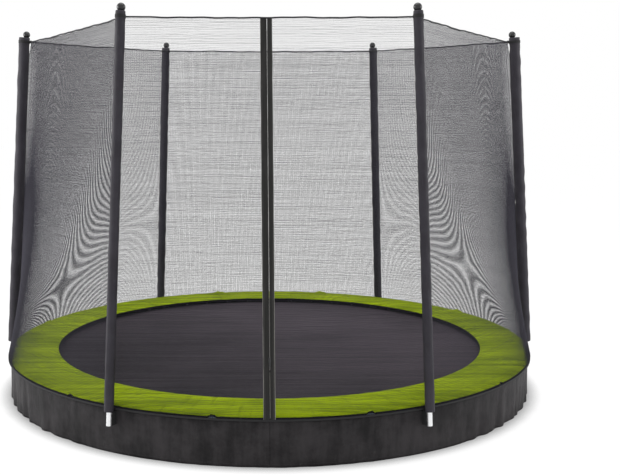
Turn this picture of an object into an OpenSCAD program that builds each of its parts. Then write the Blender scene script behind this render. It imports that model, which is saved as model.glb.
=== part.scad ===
// Round backyard trampoline, set low so that it can stand over a pit.
// A ring of steel tube on three U-shaped legs carries a sprung mat. A padded
// ring lies over the springs, a fabric skirt closes the space below, and six
// leaning poles hold a net with a zip door.
// Millimetres, Z up. The origin is the middle of the ring, on the ground, and
// the zip door faces -Y.

/* [Ring and legs] */
// Radius of the ring rail, to the middle of its tube
ring_r = 1495; // [1450:5:1560]
// Height of the middle of the rail above the ground
rail_z = 206; // [200:1:215]
// Diameter of the rail and leg tubes
rail_d = 38; // [36:0.5:38]
// Wall of the rail and leg tubes
rail_wall = 2; // [1.5:0.1:2]
// Angle between the two uprights of one leg
leg_span = 57.4; // [57:0.1:58]
// Radius of the bend between the base tube and an upright
leg_bend_r = 60; // [50:1:70]

/* [Mat and springs] */
// Length of the spring zone, from the rail's middle to the edge of the mat
spring_zone = 195; // [185:1:200]
// Thickness of the woven mat
mat_t = 2; // [1.5:0.1:2.2]
// Diameter of a spring's coil
coil_d = 20; // [16:0.5:20]
// Diameter of the spring wire
spring_wire_d = 3.2; // [2.8:0.1:3.2]

/* [Safety pad] */
// Width of the padded ring
pad_w = 281; // [260:1:290]
// Thickness of the padded ring at its crown
pad_t = 22; // [20:0.5:26]

/* [Skirt] */
// Depth of the skirt's folds where no base tube stands behind it
skirt_fold = 8; // [3:0.5:8]

/* [Poles] */
// Height of the top of the ball caps on the front and back poles
pole_top_z = 2108; // [2098:1:2140]
// How much lower the two side poles stand
side_pole_drop = 22; // [0:1:40]
// How far a front or back pole leans in between the pad and its top
pole_lean_in = 150; // [120:1:160]
// How far a side pole leans in
side_lean_in = 131; // [120:1:160]
// Diameter of the pole tube
pole_d = 25.4; // [24:0.1:25.4]
// Diameter of a front pole's foam sleeve
front_sleeve_d = 47; // [42:0.5:50]
// Diameter of a side pole's fuller sleeve
side_sleeve_d = 64; // [42:0.5:66]
// Diameter of a back pole's fuller sleeve
back_sleeve_d = 56; // [42:0.5:60]
// Diameter of the ball cap
ball_d = 41; // [40:0.5:44]
// Height of the lower end of the pole tube
pole_foot_z = 148; // [144:1:149]

/* [Net and zip] */
// Height of the net's top hem
net_top_z = 2046; // [1990:1:2050]
// Sideways place of the zip at the bottom
zip_foot_x = 4; // [0:1:6]
// Sideways place of the zip at the top
zip_head_x = -12; // [-14:1:0]
// Width of the tape left of the zip
left_tape_w = 28; // [24:1:32]
// Width of the tape right of the zip
right_tape_w = 21; // [18:1:28]

/* [Hidden] */

far = 1;                       // how far a cutter runs past what it cuts
round_fn = 32;                 // sides that stand for a tube's circle
wire_fn = 14;                  // sides that stand for a wire's circle
ring_fn = 240;                 // sides that stand for a circle of the ring's size
steel = [0.74, 0.76, 0.78];
black = [0.08, 0.08, 0.09];
fabric_grey = [0.17, 0.17, 0.18];
pad_green = [0.47, 0.60, 0.07];
mat_grey = [0.22, 0.20, 0.23];
net_grey = [0.20, 0.20, 0.21];

// Poles, sockets and uprights stand in three pairs, one pair to each leg.
// Place 1 is the left front pole, and the places run anticlockwise from above.
first_leg_az = -90;
leg_turn = 120;
half_span = leg_span / 2;
function leg_az(k) = first_leg_az + leg_turn * (k - 1);
function pole_az(i) = leg_az(ceil(i / 2)) + (i % 2 == 1 ? -half_span : half_span);
function span_after(i) = i % 2 == 1 ? leg_span : leg_turn - leg_span;

// Ring, legs and sockets
rail_r = rail_d / 2;
base_flat = 0.5;               // how deep a base tube is flattened where it stands
base_z = rail_r - base_flat;
base_r = sqrt(ring_r * ring_r - leg_bend_r * leg_bend_r);
base_half = half_span - atan(leg_bend_r / base_r);
socket_half_l = 42;
socket_fit = 0.2;              // play of a tube in its socket
socket_bore_r = rail_r + socket_fit;
socket_r = socket_bore_r + 2.4;
stem_r = socket_bore_r + 1.6;
stem_low_z = rail_z - 78;
upright_top_z = rail_z - socket_r - 0.6;
weld_seam = 0.02;              // hairline between the stretches of a leg's tube
rail_end_gap = 6;              // from the middle of a socket to a rail's end
hole_az = 360 / 54;            // angle between springs
holes_in_rail = 9;

// Mat
mat_r = ring_r - spring_zone;
mat_z = rail_z + 7;            // middle of the mat and axis of the springs
band_in = 38;
band_out = 3;
band_t = 6;
loop_l = 16;
loop_w = 20;
loop_t = 8;
ring_wire_d = 4;
ring_half_w = 15;              // half the length of a wire triangle's bar
ring_tip_w = 3;
ring_h = 24;
ring_bar_r = mat_r + 12;       // distance of the bar from the mat's middle

// Springs
wire_r = spring_wire_d / 2;
spring_in = ring_bar_r + ring_h + 0.3;
spring_out = ring_r - sqrt(rail_r * rail_r - pow(mat_z - rail_z - wire_r, 2)) - 0.1;
coil_in = spring_in + 12;
coil_out = spring_out - 16;
hook_hole_r = 3.6;

// Pad
pad_gap = 3;                   // between the rail's top and the pad
pad_low_z = rail_z + rail_r + pad_gap;
pad_top_z = pad_low_z + pad_t;
pad_out_r = ring_r + 43;
pad_in_r = pad_out_r - pad_w;
pad_edge_t = pad_t - 5;        // thickness close to the pad's two edges
pad_round = 9;                 // how far in from an edge its rounding runs
pad_steps = 10;
pad_tie_az = [-158, -129.2, -99.8, -72.3, -39.8, -12, 8, 31, 75, 104.5, 138, 162];
pad_arch_r = 21;               // arches in the pad's edge, one over each of its ties
pad_arch_h = 13;
pad_arch_in = 26;

// Elastic ties: a loop round the rail and a tongue to the piece that it holds
tie_w = 10;
tie_t = 1.25;
tie_play = 0.15;
tie_tongue_z = pad_low_z - 2.2;
net_tie_count = 18;
net_tie_first = first_leg_az + 0.5 * hole_az;
skirt_tie_first = first_leg_az + 2.5 * hole_az;
tie_step = 3 * hole_az;

// Skirt
skirt_r = ring_r + 33;
skirt_t = 1.6;
skirt_top_z = rail_z + 16;
skirt_cols = 36;
skirt_rows = 2;
skirt_calm = 7;                // degrees each side of a pole that stay flat
skirt_waves = 11;              // folds to each skirt section

// Poles
pole_r = ring_r + 69;          // pole axis at the pad's top
tube_r = pole_d / 2;
tube_wall = 1.5;
sleeve_play = 0.2;
sleeve_in = 20;                // from a pole's axis to the face of its sleeve that the net hangs by
sleeve_foot_z = rail_z + 10;
ball_r = ball_d / 2;
tube_past_ball = 2;            // how far a tube runs past the middle of its cap
cap_bore_play = 0.15;
function is_side(i) = i == 3 || i == 6;
function drop(i) = is_side(i) ? side_pole_drop : 0;
function lean(i) = atan((is_side(i) ? side_lean_in : pole_lean_in) / (pole_top_z - pad_top_z));
function pole_at(i, z) = pole_r - (z - pad_top_z) * tan(lean(i));
function up_pole(i, z) = (z - pole_foot_z) / cos(lean(i));
function ball_z(i) = pole_top_z - drop(i) - ball_r;
function sleeve_head_z(i) = ball_z(i) - 0.8 * ball_r;
function sleeve_r(i) = (is_side(i) ? side_sleeve_d : i < 3 ? front_sleeve_d : back_sleeve_d) / 2;

// Bolts that hold a pole to its socket, from the inside
bolt_r = 4;
bolt_hole_r = 4.3;
bolt_z = [rail_z - 48, rail_z];
bolt_flats = 13;
bolt_head_t = 5.5;
nut_t = 6.5;
spacer_w = 24;
spacer_low_z = rail_z - 60;
spacer_high_z = sleeve_foot_z - 3;
spacer_play = 0.3;

// Net
net_t = 1.6;
net_r = ring_r + 48;           // middle of the net at its bottom hem
net_foot_z = pad_low_z + 3;
hem_r = 4;
knot_r = 5.2;                  // where the hem turns a corner at a pole
strap_t = 1.5;
strap_h = 16;
strap_play = 0.3;
strand_w = 9;
border_w = 14;
net_cols = 8;
half_net_cols = 4;
net_rows = 4;
panel_gap = 0.6;
bottom_hem_t = 1.8;
bottom_hem_h = 10;
// Where the top hem turns at a pole
function corner(i) =
    let (z = net_top_z - drop(i),
         r = pole_at(i, z) - (sleeve_in + strap_t + strap_play) / cos(lean(i)) - knot_r - 0.4)
    [r * cos(pole_az(i)), r * sin(pole_az(i)), z];

// Zip
zip_foot = [zip_foot_x, -net_r, net_foot_z];
zip_head = [zip_head_x, corner(1).y, net_top_z - hem_r];
zip_run = zip_head - zip_foot;
zip_l = norm(zip_run);
zip_tilt_x = atan2(-zip_run.y, sqrt(zip_run.x * zip_run.x + zip_run.z * zip_run.z));
zip_tilt_y = atan2(zip_run.x, zip_run.z);
tape_play = 0.5;               // between a tape's ends and the two hems
tooth_in = 0.8;
tooth_out = 3.2;
tooth_t = 3.2;
teeth_low = 222;
teeth_high = zip_l - 60;
slider_s = 267;                // slider's place along the zip at rest
slider_w = 12;
slider_l = 22;
slider_plate = 1.6;
slider_gap = 2;                // from the zip's middle plane to a plate
web_t = 1;
web_l = 8;
bail_r = 3.6;
bail_wire_r = 0.9;
pull_axis_y = slider_gap + slider_plate + 1.5;
pull_w = 9;
pull_l = 34;
pull_t = 1.6;
pull_eye = 5.4;
pull_bar_r = 0.9;

// ---- helpers -------------------------------------------------------------

module at_az(a) { rotate([0, 0, a]) children(); }

// A stretch of hollow tube bent to radius r, from angle 0 to angle a
module tube_arc(r, a, outer, inner, fn) {
    rotate_extrude(angle = a, $fn = fn)
        translate([r, 0])
            difference() {
                circle(r = outer, $fn = round_fn);
                circle(r = inner, $fn = round_fn);
            }
}

module solid_arc(r, a, outer, fn) {
    rotate_extrude(angle = a, $fn = fn)
        translate([r, 0])
            circle(r = outer, $fn = outer < 4 ? wire_fn : round_fn);
}

// A rod along +X from x0 to x1
module rod_x(x0, x1, r, fn = round_fn) {
    translate([x0, 0, 0])
        rotate([0, 90, 0])
            cylinder(r = r, h = x1 - x0, $fn = fn);
}

// The pole's own frame: its foot is the origin and +Z runs up its axis
module on_pole(i) {
    at_az(pole_az(i))
        translate([pole_at(i, pole_foot_z), 0, pole_foot_z])
            rotate([0, -lean(i), 0])
                children();
}

// The zip's own frame: +Z runs up the zip and -Y points out of the enclosure
module on_zip() {
    translate(zip_foot)
        rotate([zip_tilt_x, zip_tilt_y, 0])
            children();
}

// ---- ring, sockets and legs ------------------------------------------------

module hook_hole() {
    translate([ring_r, 0, rail_z])
        rotate([0, -45, 0])
            translate([0, 0, rail_r - 2 * rail_wall])
                cylinder(r = hook_hole_r, h = 3 * rail_wall, $fn = round_fn);
}

module rail(i) {
    gap_az = asin(rail_end_gap / ring_r);
    mid_az = pole_az(i) + span_after(i) / 2;
    color(steel)
        difference() {
            at_az(pole_az(i) + gap_az)
                translate([0, 0, rail_z])
                    tube_arc(ring_r, span_after(i) - 2 * gap_az, rail_r, rail_r - rail_wall, ring_fn);
            for (k = [0 : holes_in_rail - 1])
                at_az(mid_az + (k - (holes_in_rail - 1) / 2) * hole_az)
                    hook_hole();
        }
}

module t_socket(i) {
    half_az = asin(socket_half_l / ring_r);
    color(steel)
        at_az(pole_az(i))
            difference() {
                union() {
                    at_az(-half_az)
                        translate([0, 0, rail_z])
                            solid_arc(ring_r, 2 * half_az, socket_r, ring_fn);
                    translate([ring_r, 0, stem_low_z])
                        cylinder(r = stem_r, h = rail_z - stem_low_z, $fn = round_fn);
                }
                at_az(-half_az - 1)
                    translate([0, 0, rail_z])
                        solid_arc(ring_r, 2 * half_az + 2, socket_bore_r, ring_fn);
                translate([ring_r, 0, stem_low_z - far])
                    cylinder(r = socket_bore_r, h = upright_top_z + 0.4 - stem_low_z + far, $fn = round_fn);
                for (z = bolt_z)
                    translate([0, 0, z])
                        rod_x(ring_r - 2 * socket_r, ring_r + 2 * socket_r, bolt_hole_r);
            }
}

// A bend and an upright at the far end of a leg's base tube
module leg_end() {
    rise = upright_top_z - base_z - leg_bend_r - weld_seam;
    translate([base_r, 0, base_z + leg_bend_r])
        rotate([90, 0, 90])
            rotate([0, 0, -90])
                tube_arc(leg_bend_r, 90, rail_r, rail_r - rail_wall, round_fn * 2);
    difference() {
        translate([base_r, leg_bend_r, base_z + leg_bend_r + weld_seam])
            linear_extrude(rise)
                difference() {
                    circle(r = rail_r, $fn = round_fn);
                    circle(r = rail_r - rail_wall, $fn = round_fn);
                }
        at_az(atan(leg_bend_r / base_r))
            translate([0, 0, bolt_z[0]])
                rod_x(ring_r - 2 * rail_r, ring_r + 2 * rail_r, bolt_hole_r);
    }
}

// A base tube along the ring's curve, flattened a little where it stands, with
// a bent upright welded to each end
module u_leg(k) {
    seam_az = asin(weld_seam / base_r);
    color(steel)
        at_az(leg_az(k)) {
            difference() {
                at_az(-base_half + seam_az)
                    translate([0, 0, base_z])
                        tube_arc(base_r, 2 * (base_half - seam_az), rail_r, rail_r - rail_wall, ring_fn);
                translate([0, -ring_r, -2 * far])
                    cube([2 * ring_r, 2 * ring_r, 2 * far]);
            }
            at_az(base_half) leg_end();
            mirror([0, 1, 0]) at_az(base_half) leg_end();
        }
}

// ---- mat and springs ---------------------------------------------------------

module jump_mat() {
    color(mat_grey)
        translate([0, 0, mat_z - mat_t / 2])
            cylinder(r = mat_r - 0.2, h = mat_t, $fn = ring_fn);
}

// Folded webbing that wraps the mat's edge
module mat_edge_band() {
    color(black)
        rotate_extrude($fn = ring_fn)
            difference() {
                translate([mat_r - band_in, mat_z - band_t / 2])
                    square([band_in + band_out, band_t]);
                translate([mat_r - band_in - far, mat_z - mat_t / 2 - 0.1])
                    square([band_in + far, mat_t + 0.2]);
            }
}

// A triangle of flat-rolled wire: its bar lies towards the mat, its tip
// towards the spring
function ring_outline(grow) = [
    [-ring_wire_d / 2 - grow, -ring_half_w - grow * 2],
    [-ring_wire_d / 2 - grow, ring_half_w + grow * 2],
    [ring_wire_d - grow, ring_half_w + grow * 2],
    [ring_h + grow, ring_tip_w + grow / 2],
    [ring_h + grow, -ring_tip_w - grow / 2],
    [ring_wire_d - grow, -ring_half_w - grow * 2]];

module wire_triangle() {
    translate([ring_bar_r, 0, mat_z - ring_wire_d / 2])
        linear_extrude(ring_wire_d)
            difference() {
                polygon(ring_outline(0));
                polygon(ring_outline(-ring_wire_d));
            }
}

// The webbing loop that holds a triangle's bar at the mat's edge
module webbing_loop() {
    hole = ring_wire_d + 0.6;
    translate([0, loop_w / 2, mat_z])
        rotate([90, 0, 0])
            linear_extrude(loop_w)
                difference() {
                    translate([mat_r + band_out + 0.05, -loop_t / 2])
                        square([loop_l, loop_t]);
                    translate([ring_bar_r - hole / 2, -hole / 2])
                        square([hole, hole]);
                }
}

module mat_rings() {
    color(steel)
        for (k = [0 : 53])
            at_az(first_leg_az + k * hole_az) {
                wire_triangle();
                webbing_loop();
            }
}

// One spring: a close-wound body with a straight end to each side
module one_spring() {
    translate([0, 0, mat_z])
        rotate([0, 90, 0])
            rotate_extrude($fn = round_fn)
                polygon([[0, spring_in], [wire_r, spring_in], [wire_r, coil_in],
                         [coil_d / 2 - wire_r, coil_in], [coil_d / 2, coil_in + wire_r],
                         [coil_d / 2, coil_out - wire_r], [coil_d / 2 - wire_r, coil_out],
                         [wire_r, coil_out], [wire_r, spring_out], [0, spring_out]]);
}

module springs() {
    color(steel)
        for (k = [0 : 53])
            at_az(first_leg_az + k * hole_az)
                one_spring();
}

// ---- safety pad and ties -----------------------------------------------------

// Height of the pad's upper face at a share u of the way from its inner edge
function pad_crown(u) = pad_edge_t + (pad_t - pad_edge_t) * (1 - pow(abs(2 * u - 1), 6));

module pad_section() {
    top = [for (k = [0 : pad_steps])
        let (u = k / pad_steps)
            [pad_in_r + pad_round + u * (pad_w - 2 * pad_round), pad_low_z + pad_crown(u)]];
    polygon(concat(
        [[pad_in_r + pad_round / 3, pad_low_z], [pad_in_r, pad_low_z + pad_edge_t / 3],
         [pad_in_r + 1, pad_low_z + pad_edge_t * 0.75]],
        top,
        [[pad_out_r - 1, pad_low_z + pad_edge_t * 0.75], [pad_out_r, pad_low_z + pad_edge_t / 3],
         [pad_out_r - pad_round / 3, pad_low_z]]));
}

module safety_pad() {
    color(pad_green)
        difference() {
            rotate_extrude($fn = ring_fn) pad_section();
            for (a = pad_tie_az)
                at_az(a)
                    translate([0, 0, pad_low_z + pad_arch_h - pad_arch_r])
                        rod_x(pad_out_r - pad_arch_in, pad_out_r + far, pad_arch_r);
        }
}

module rail_loop() {
    translate([ring_r, 0, rail_z])
        rotate([90, 0, 0])
            difference() {
                cylinder(r = rail_r + tie_play + tie_t, h = tie_w, center = true, $fn = round_fn);
                cylinder(r = rail_r + tie_play, h = tie_w + 2, center = true, $fn = round_fn);
            }
}

// A loop round the rail with a tongue that runs out to radius r at height z
module tie(r, z) {
    rail_loop();
    rise = z + tie_t / 2 - rail_z;
    loop_r = rail_r + tie_play + tie_t / 2;
    start = ring_r + (abs(rise) < loop_r ? sqrt(loop_r * loop_r - rise * rise) : 0);
    translate([start, -tie_w / 2, z])
        cube([r - start, tie_w, tie_t]);
}

module pad_ties() {
    color(black)
        for (a = pad_tie_az)
            at_az(a)
                tie(pad_out_r - 8, tie_tongue_z);
}

module net_ties() {
    color(black)
        for (k = [0 : net_tie_count - 1])
            at_az(net_tie_first + k * tie_step)
                tie(net_r - bottom_hem_t / 2 - 0.2, tie_tongue_z);
}

module skirt_ties() {
    color(black)
        for (k = [0 : net_tie_count - 1])
            at_az(skirt_tie_first + k * tie_step)
                tie(skirt_r - skirt_t / 2 - 0.9, rail_z + 6);
}

// ---- skirt ---------------------------------------------------------------------

// How far the skirt stands in from its plain radius. It is flat where a pole
// clamps it, shallow over a leg's base tube and deep between the legs, and
// every fold grows towards the ground.
function fold_depth(i, a) =
    let (to_leg = a * (i % 2 == 1 ? 1 : -1) > 0,
         most = to_leg ? 0.22 * skirt_fold : skirt_fold,
         off = max(0, abs(a) - skirt_calm) / (30 - skirt_calm))
    most * sin(90 * min(1, 1.6 * off));
function fold_at(i, a, v) =
    let (wave = sin(360 * skirt_waves * a / 60) + 0.45 * sin(360 * skirt_waves * a / 37 + 70 * i))
    fold_depth(i, a) * (wave / 1.45 - 0.25) * (0.04 + 0.96 * v);

// v runs from 0 at the skirt's top to 1 on the ground
function skirt_point(i, a, v, side) =
    let (r = skirt_r + fold_at(i, a, v) + side * skirt_t / 2)
    [r * cos(a), r * sin(a), skirt_top_z * (1 - v)];

function sheet_index(side, c, r, cols, rows) = side * (cols + 1) * (rows + 1) + c * (rows + 1) + r;
function quad(p, q, r, s) = [[p, q, r], [p, r, s]];

// Faces of a closed sheet of cols by rows cells: side 0 is its outer face
function sheet_faces(cols, rows) =
    let (id = function (side, c, r) sheet_index(side, c, r, cols, rows))
    [for (c = [0 : cols - 1], r = [0 : rows - 1], f = concat(
        quad(id(0, c, r), id(0, c + 1, r), id(0, c + 1, r + 1), id(0, c, r + 1)),
        quad(id(1, c, r), id(1, c, r + 1), id(1, c + 1, r + 1), id(1, c + 1, r)))) f,
     for (c = [0 : cols - 1], f = concat(
        quad(id(0, c, 0), id(1, c, 0), id(1, c + 1, 0), id(0, c + 1, 0)),
        quad(id(0, c, rows), id(0, c + 1, rows), id(1, c + 1, rows), id(1, c, rows)))) f,
     for (r = [0 : rows - 1], f = concat(
        quad(id(0, 0, r), id(0, 0, r + 1), id(1, 0, r + 1), id(1, 0, r)),
        quad(id(0, cols, r), id(1, cols, r), id(1, cols, r + 1), id(0, cols, r + 1)))) f];

module skirt(i) {
    before = span_after(i % 2 == 1 ? 2 : 1) / 2;
    after = span_after(i) / 2;
    seam = 0.012;
    lo = -before + seam;
    hi = after - seam;
    points = [for (side = [1, -1], c = [0 : skirt_cols], r = [0 : skirt_rows])
        skirt_point(i, lo + (hi - lo) * c / skirt_cols, r / skirt_rows, side)];
    color(fabric_grey)
        at_az(pole_az(i))
            difference() {
                polyhedron(points, sheet_faces(skirt_cols, skirt_rows));
                for (z = bolt_z)
                    translate([0, 0, z])
                        rod_x(skirt_r - 10, skirt_r + 10, bolt_hole_r, 16);
            }
}

// ---- poles -----------------------------------------------------------------------

module pole(i) {
    color("gainsboro")
        difference() {
            on_pole(i)
                difference() {
                    cylinder(r = tube_r, h = up_pole(i, ball_z(i)) + tube_past_ball, $fn = round_fn);
                    translate([0, 0, -far])
                        cylinder(r = tube_r - tube_wall, h = up_pole(i, pole_top_z), $fn = round_fn);
                }
            for (z = bolt_z)
                at_az(pole_az(i))
                    translate([0, 0, z])
                        rod_x(pole_at(i, z) - 2 * tube_r, pole_at(i, z), bolt_hole_r);
        }
}

// A round bar off the pole's axis, with its side towards the net at distance near
module beside_pole(r, near, h) {
    translate([r - near, 0, 0])
        cylinder(r = r, h = h, $fn = round_fn);
}

// The foam is thicker on the side away from the net
module pole_sleeve(i) {
    color(fabric_grey)
        on_pole(i)
            translate([0, 0, up_pole(i, sleeve_foot_z)])
                difference() {
                    beside_pole(sleeve_r(i), sleeve_in, up_pole(i, sleeve_head_z(i)) - up_pole(i, sleeve_foot_z));
                    translate([0, 0, -far])
                        cylinder(r = tube_r + sleeve_play, h = up_pole(i, pole_top_z), $fn = round_fn);
                }
}

// A ball on the end of each pole, bored from below for the tube
module pole_caps() {
    color(black)
        for (i = [1 : 6])
            on_pole(i)
                difference() {
                    translate([0, 0, up_pole(i, ball_z(i))])
                        sphere(r = ball_r, $fn = 64);
                    cylinder(r = tube_r + cap_bore_play,
                             h = up_pole(i, ball_z(i)) + tube_past_ball + 0.5, $fn = round_fn);
                }
}

// Saddle blocks that clamp the skirt between the socket and the pole
module inner_spacers() {
    face = skirt_r - skirt_t / 2 - spacer_play;
    color(black)
        for (i = [1 : 6])
            at_az(pole_az(i))
                difference() {
                    translate([ring_r + rail_r - 6, -spacer_w / 2, spacer_low_z])
                        cube([face - ring_r - rail_r + 6, spacer_w, spacer_high_z - spacer_low_z]);
                    translate([ring_r, 0, spacer_low_z - far])
                        cylinder(r = stem_r + spacer_play, h = spacer_high_z, $fn = round_fn);
                    translate([ring_r, 0, rail_z])
                        rotate([90, 0, 0])
                            cylinder(r = socket_r + spacer_play, h = 2 * spacer_w, center = true, $fn = round_fn);
                    for (z = bolt_z)
                        translate([0, 0, z])
                            rod_x(ring_r, face + far, bolt_hole_r);
                }
}

module outer_spacers() {
    face = skirt_r + skirt_t / 2 + spacer_play;
    color(black)
        for (i = [1 : 6])
            difference() {
                at_az(pole_az(i))
                    difference() {
                        translate([face, -spacer_w / 2, spacer_low_z])
                            cube([pole_at(i, spacer_low_z) - 10 - face, spacer_w, spacer_high_z - spacer_low_z]);
                        for (z = bolt_z)
                            translate([0, 0, z])
                                rod_x(face - far, pole_at(i, z), bolt_hole_r);
                    }
                on_pole(i)
                    translate([0, 0, -10])
                        cylinder(r = tube_r + spacer_play / 2, h = up_pole(i, spacer_high_z) + 40, $fn = round_fn);
            }
}

module hexagon_x(x0, x1) {
    translate([x0, 0, 0])
        rotate([0, 90, 0])
            cylinder(r = nut_corner_r, h = x1 - x0, $fn = 6);
}

// Where a nut starts: its corners stay just inside the pole tube's wall
nut_corner_r = bolt_flats / cos(30) / 2;
nut_play = 0.7;
function nut_x(i, z) = pole_at(i, z) - sqrt(pow(tube_r - tube_wall, 2) - pow(nut_corner_r, 2)) + nut_play;

// Bolts from inside the ring, each with its nut inside the pole tube
module pole_bolts() {
    head_x = [ring_r - stem_r - 0.05, ring_r - socket_r - 0.05];
    color(steel)
        for (i = [1 : 6], b = [0, 1])
            at_az(pole_az(i))
                translate([0, 0, bolt_z[b]]) {
                    hexagon_x(head_x[b] - bolt_head_t, head_x[b]);
                    rod_x(head_x[b] - far, pole_at(i, bolt_z[b]) - 2, bolt_r);
                    difference() {
                        hexagon_x(nut_x(i, bolt_z[b]), nut_x(i, bolt_z[b]) + nut_t);
                        rod_x(nut_x(i, bolt_z[b]) - far, nut_x(i, bolt_z[b]) + nut_t + far, bolt_r + 0.05);
                    }
                }
}

// ---- net -------------------------------------------------------------------------

// Cell borders along one side of a net: a border, then gaps and strands
function net_lines(n, length) =
    let (b = border_w / length, s = strand_w / length, gap = (1 - 2 * b - (n - 1) * s) / n)
    concat([0], [for (k = [0 : n - 1], e = [0, 1]) b + k * (gap + s) + e * gap], [1]);

function mix2(p, q, t) = p + (q - p) * t;

// A point of the net: its foot follows the ring's arc and its head a straight
// chord between two poles
function net_point(a0, a1, p0, p1, u, v, side) =
    let (a = a0 + (a1 - a0) * u,
         foot = [(net_r + side * net_t / 2) * cos(a), (net_r + side * net_t / 2) * sin(a), net_foot_z],
         along = (p1 - p0) / norm(p1 - p0),
         head = mix2(p0, p1, u) + [side * net_t / 2 * along.y, -side * net_t / 2 * along.x, -hem_r])
    mix2(foot, head, v);

function is_gap(i, j) = i % 2 == 1 && j % 2 == 1;

module net_sheet(a0, a1, p0, p1, cols) {
    us = net_lines(cols, norm(p1 - p0));
    vs = net_lines(net_rows, net_top_z - net_foot_z);
    nu = len(us) - 1;
    nv = len(vs) - 1;
    points = [for (side = [1, -1], u = us, v = vs) net_point(a0, a1, p0, p1, u, v, side)];
    id = function (side, i, j) sheet_index(side, i, j, nu, nv);
    faces = concat(
        [for (i = [0 : nu - 1], j = [0 : nv - 1]) if (!is_gap(i, j))
            each concat(quad(id(0, i, j), id(0, i, j + 1), id(0, i + 1, j + 1), id(0, i + 1, j)),
                        quad(id(1, i, j), id(1, i + 1, j), id(1, i + 1, j + 1), id(1, i, j + 1)))],
        [for (i = [0 : nu - 1], j = [0 : nv - 1]) if (is_gap(i, j))
            let (rim = [[i + 1, j], [i, j], [i, j + 1], [i + 1, j + 1]])
            for (k = [0 : 3])
                let (m = rim[k], n = rim[(k + 1) % 4])
                each quad(id(0, m[0], m[1]), id(0, n[0], n[1]), id(1, n[0], n[1]), id(1, m[0], m[1]))],
        [for (i = [0 : nu - 1])
            each concat(quad(id(0, i + 1, 0), id(1, i + 1, 0), id(1, i, 0), id(0, i, 0)),
                        quad(id(0, i, nv), id(1, i, nv), id(1, i + 1, nv), id(0, i + 1, nv)))],
        [for (j = [0 : nv - 1])
            each concat(quad(id(0, 0, j), id(1, 0, j), id(1, 0, j + 1), id(0, 0, j + 1)),
                        quad(id(0, nu, j + 1), id(1, nu, j + 1), id(1, nu, j), id(0, nu, j)))]);
    color(net_grey)
        polyhedron(points, faces);
}

// The whole panel between pole i and the next pole
module net_panel(i) {
    trim = asin(panel_gap / net_r);
    p0 = corner(i);
    p1 = corner(i % 6 + 1);
    step = panel_gap * (p1 - p0) / norm(p1 - p0);
    net_sheet(pole_az(i) + trim, pole_az(i) + span_after(i) - trim, p0 + step, p1 - step, net_cols);
}

// The two halves of the door panel end at the zip's tapes
module net_front_left() {
    edge = left_tape_w + tooth_out + 0.3;
    trim = asin(panel_gap / net_r);
    net_sheet(pole_az(1) + trim, first_leg_az + asin((zip_foot_x - edge) / net_r),
              corner(1) + [panel_gap, 0, 0], [zip_head_x - edge, corner(1).y, net_top_z], half_net_cols);
}

module net_front_right() {
    edge = right_tape_w + tooth_out + 0.3;
    trim = asin(panel_gap / net_r);
    net_sheet(first_leg_az + asin((zip_foot_x + edge) / net_r), pole_az(2) - trim,
              [zip_head_x + edge, corner(1).y, net_top_z], corner(2) - [panel_gap, 0, 0], half_net_cols);
}

module net_top_hem() {
    color(black)
        for (i = [1 : 6]) {
            run = corner(i % 6 + 1) - corner(i);
            translate(corner(i)) {
                translate([0, 0, knot_r - hem_r + 0.1])
                    sphere(r = knot_r, $fn = round_fn);
                rotate([0, -asin(run.z / norm(run)), atan2(run.y, run.x)])
                    rod_x(knot_r + 0.05, norm(run) - knot_r - 0.05, hem_r);
            }
        }
}

module net_bottom_hem() {
    color(black)
        rotate_extrude($fn = ring_fn)
            translate([net_r - bottom_hem_t / 2, net_foot_z - bottom_hem_h])
                square([bottom_hem_t, bottom_hem_h]);
}

// A strap round each pole, at the corner of the hem
module net_straps() {
    color(black)
        for (i = [1 : 6])
            on_pole(i)
                translate([0, 0, up_pole(i, corner(i).z) - strap_h / 2])
                    difference() {
                        beside_pole(sleeve_r(i) + strap_play + strap_t, sleeve_in + strap_play + strap_t, strap_h);
                        translate([0, 0, -far])
                            beside_pole(sleeve_r(i) + strap_play, sleeve_in + strap_play, strap_h + 2 * far);
                    }
}

// ---- zip ---------------------------------------------------------------------------

module zip_tapes() {
    color(black)
        on_zip() {
            for (s = [-1, 1])
                let (w = s < 0 ? left_tape_w : right_tape_w)
                translate([s < 0 ? -tooth_out - w : tooth_out, -net_t / 2, tape_play])
                    cube([w, net_t, zip_l - 2 * tape_play]);
        }
}

module zip_teeth() {
    color("silver")
        on_zip()
            for (s = [-1, 1])
                translate([s < 0 ? -tooth_out : tooth_in, -tooth_t / 2, teeth_low])
                    cube([tooth_out - tooth_in, tooth_t, teeth_high - teeth_low]);
}

module slider_plate() {
    translate([-slider_w / 2, slider_gap, -slider_l / 2])
        cube([slider_w, slider_plate, slider_l]);
    translate([0, slider_gap + slider_plate - 0.2, 0])
        rotate([0, -90, 0])
            solid_arc(bail_r, 180, bail_wire_r, round_fn);
}

// Two plates joined by a thin web that runs between the rows of teeth, each
// with a bail for its pull
module zip_slider() {
    color("silver")
        on_zip()
            translate([0, 0, slider_s]) {
                slider_plate();
                mirror([0, 1, 0]) slider_plate();
                translate([-web_t / 2, -slider_gap - 0.5, -slider_l / 2])
                    cube([web_t, 2 * slider_gap + 1, web_l]);
            }
}

// A pull hangs from its bar, which turns inside the slider's bail
module zip_pull() {
    rotate([0, 90, 0])
        cylinder(r = pull_bar_r, h = pull_w, center = true, $fn = round_fn);
    for (s = [-1, 1])
        translate([s * (pull_w / 2 - 0.9) - 0.9, -pull_t / 2, -pull_eye - 1])
            cube([1.8, pull_t, pull_eye + 1]);
    difference() {
        translate([-pull_w / 2, -pull_t / 2, -pull_l])
            cube([pull_w, pull_t, pull_l - pull_eye]);
        translate([0, 0, -pull_l + 4.5])
            rotate([90, 0, 0])
                cylinder(r = 2.2, h = 4, center = true, $fn = round_fn);
    }
}

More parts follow.
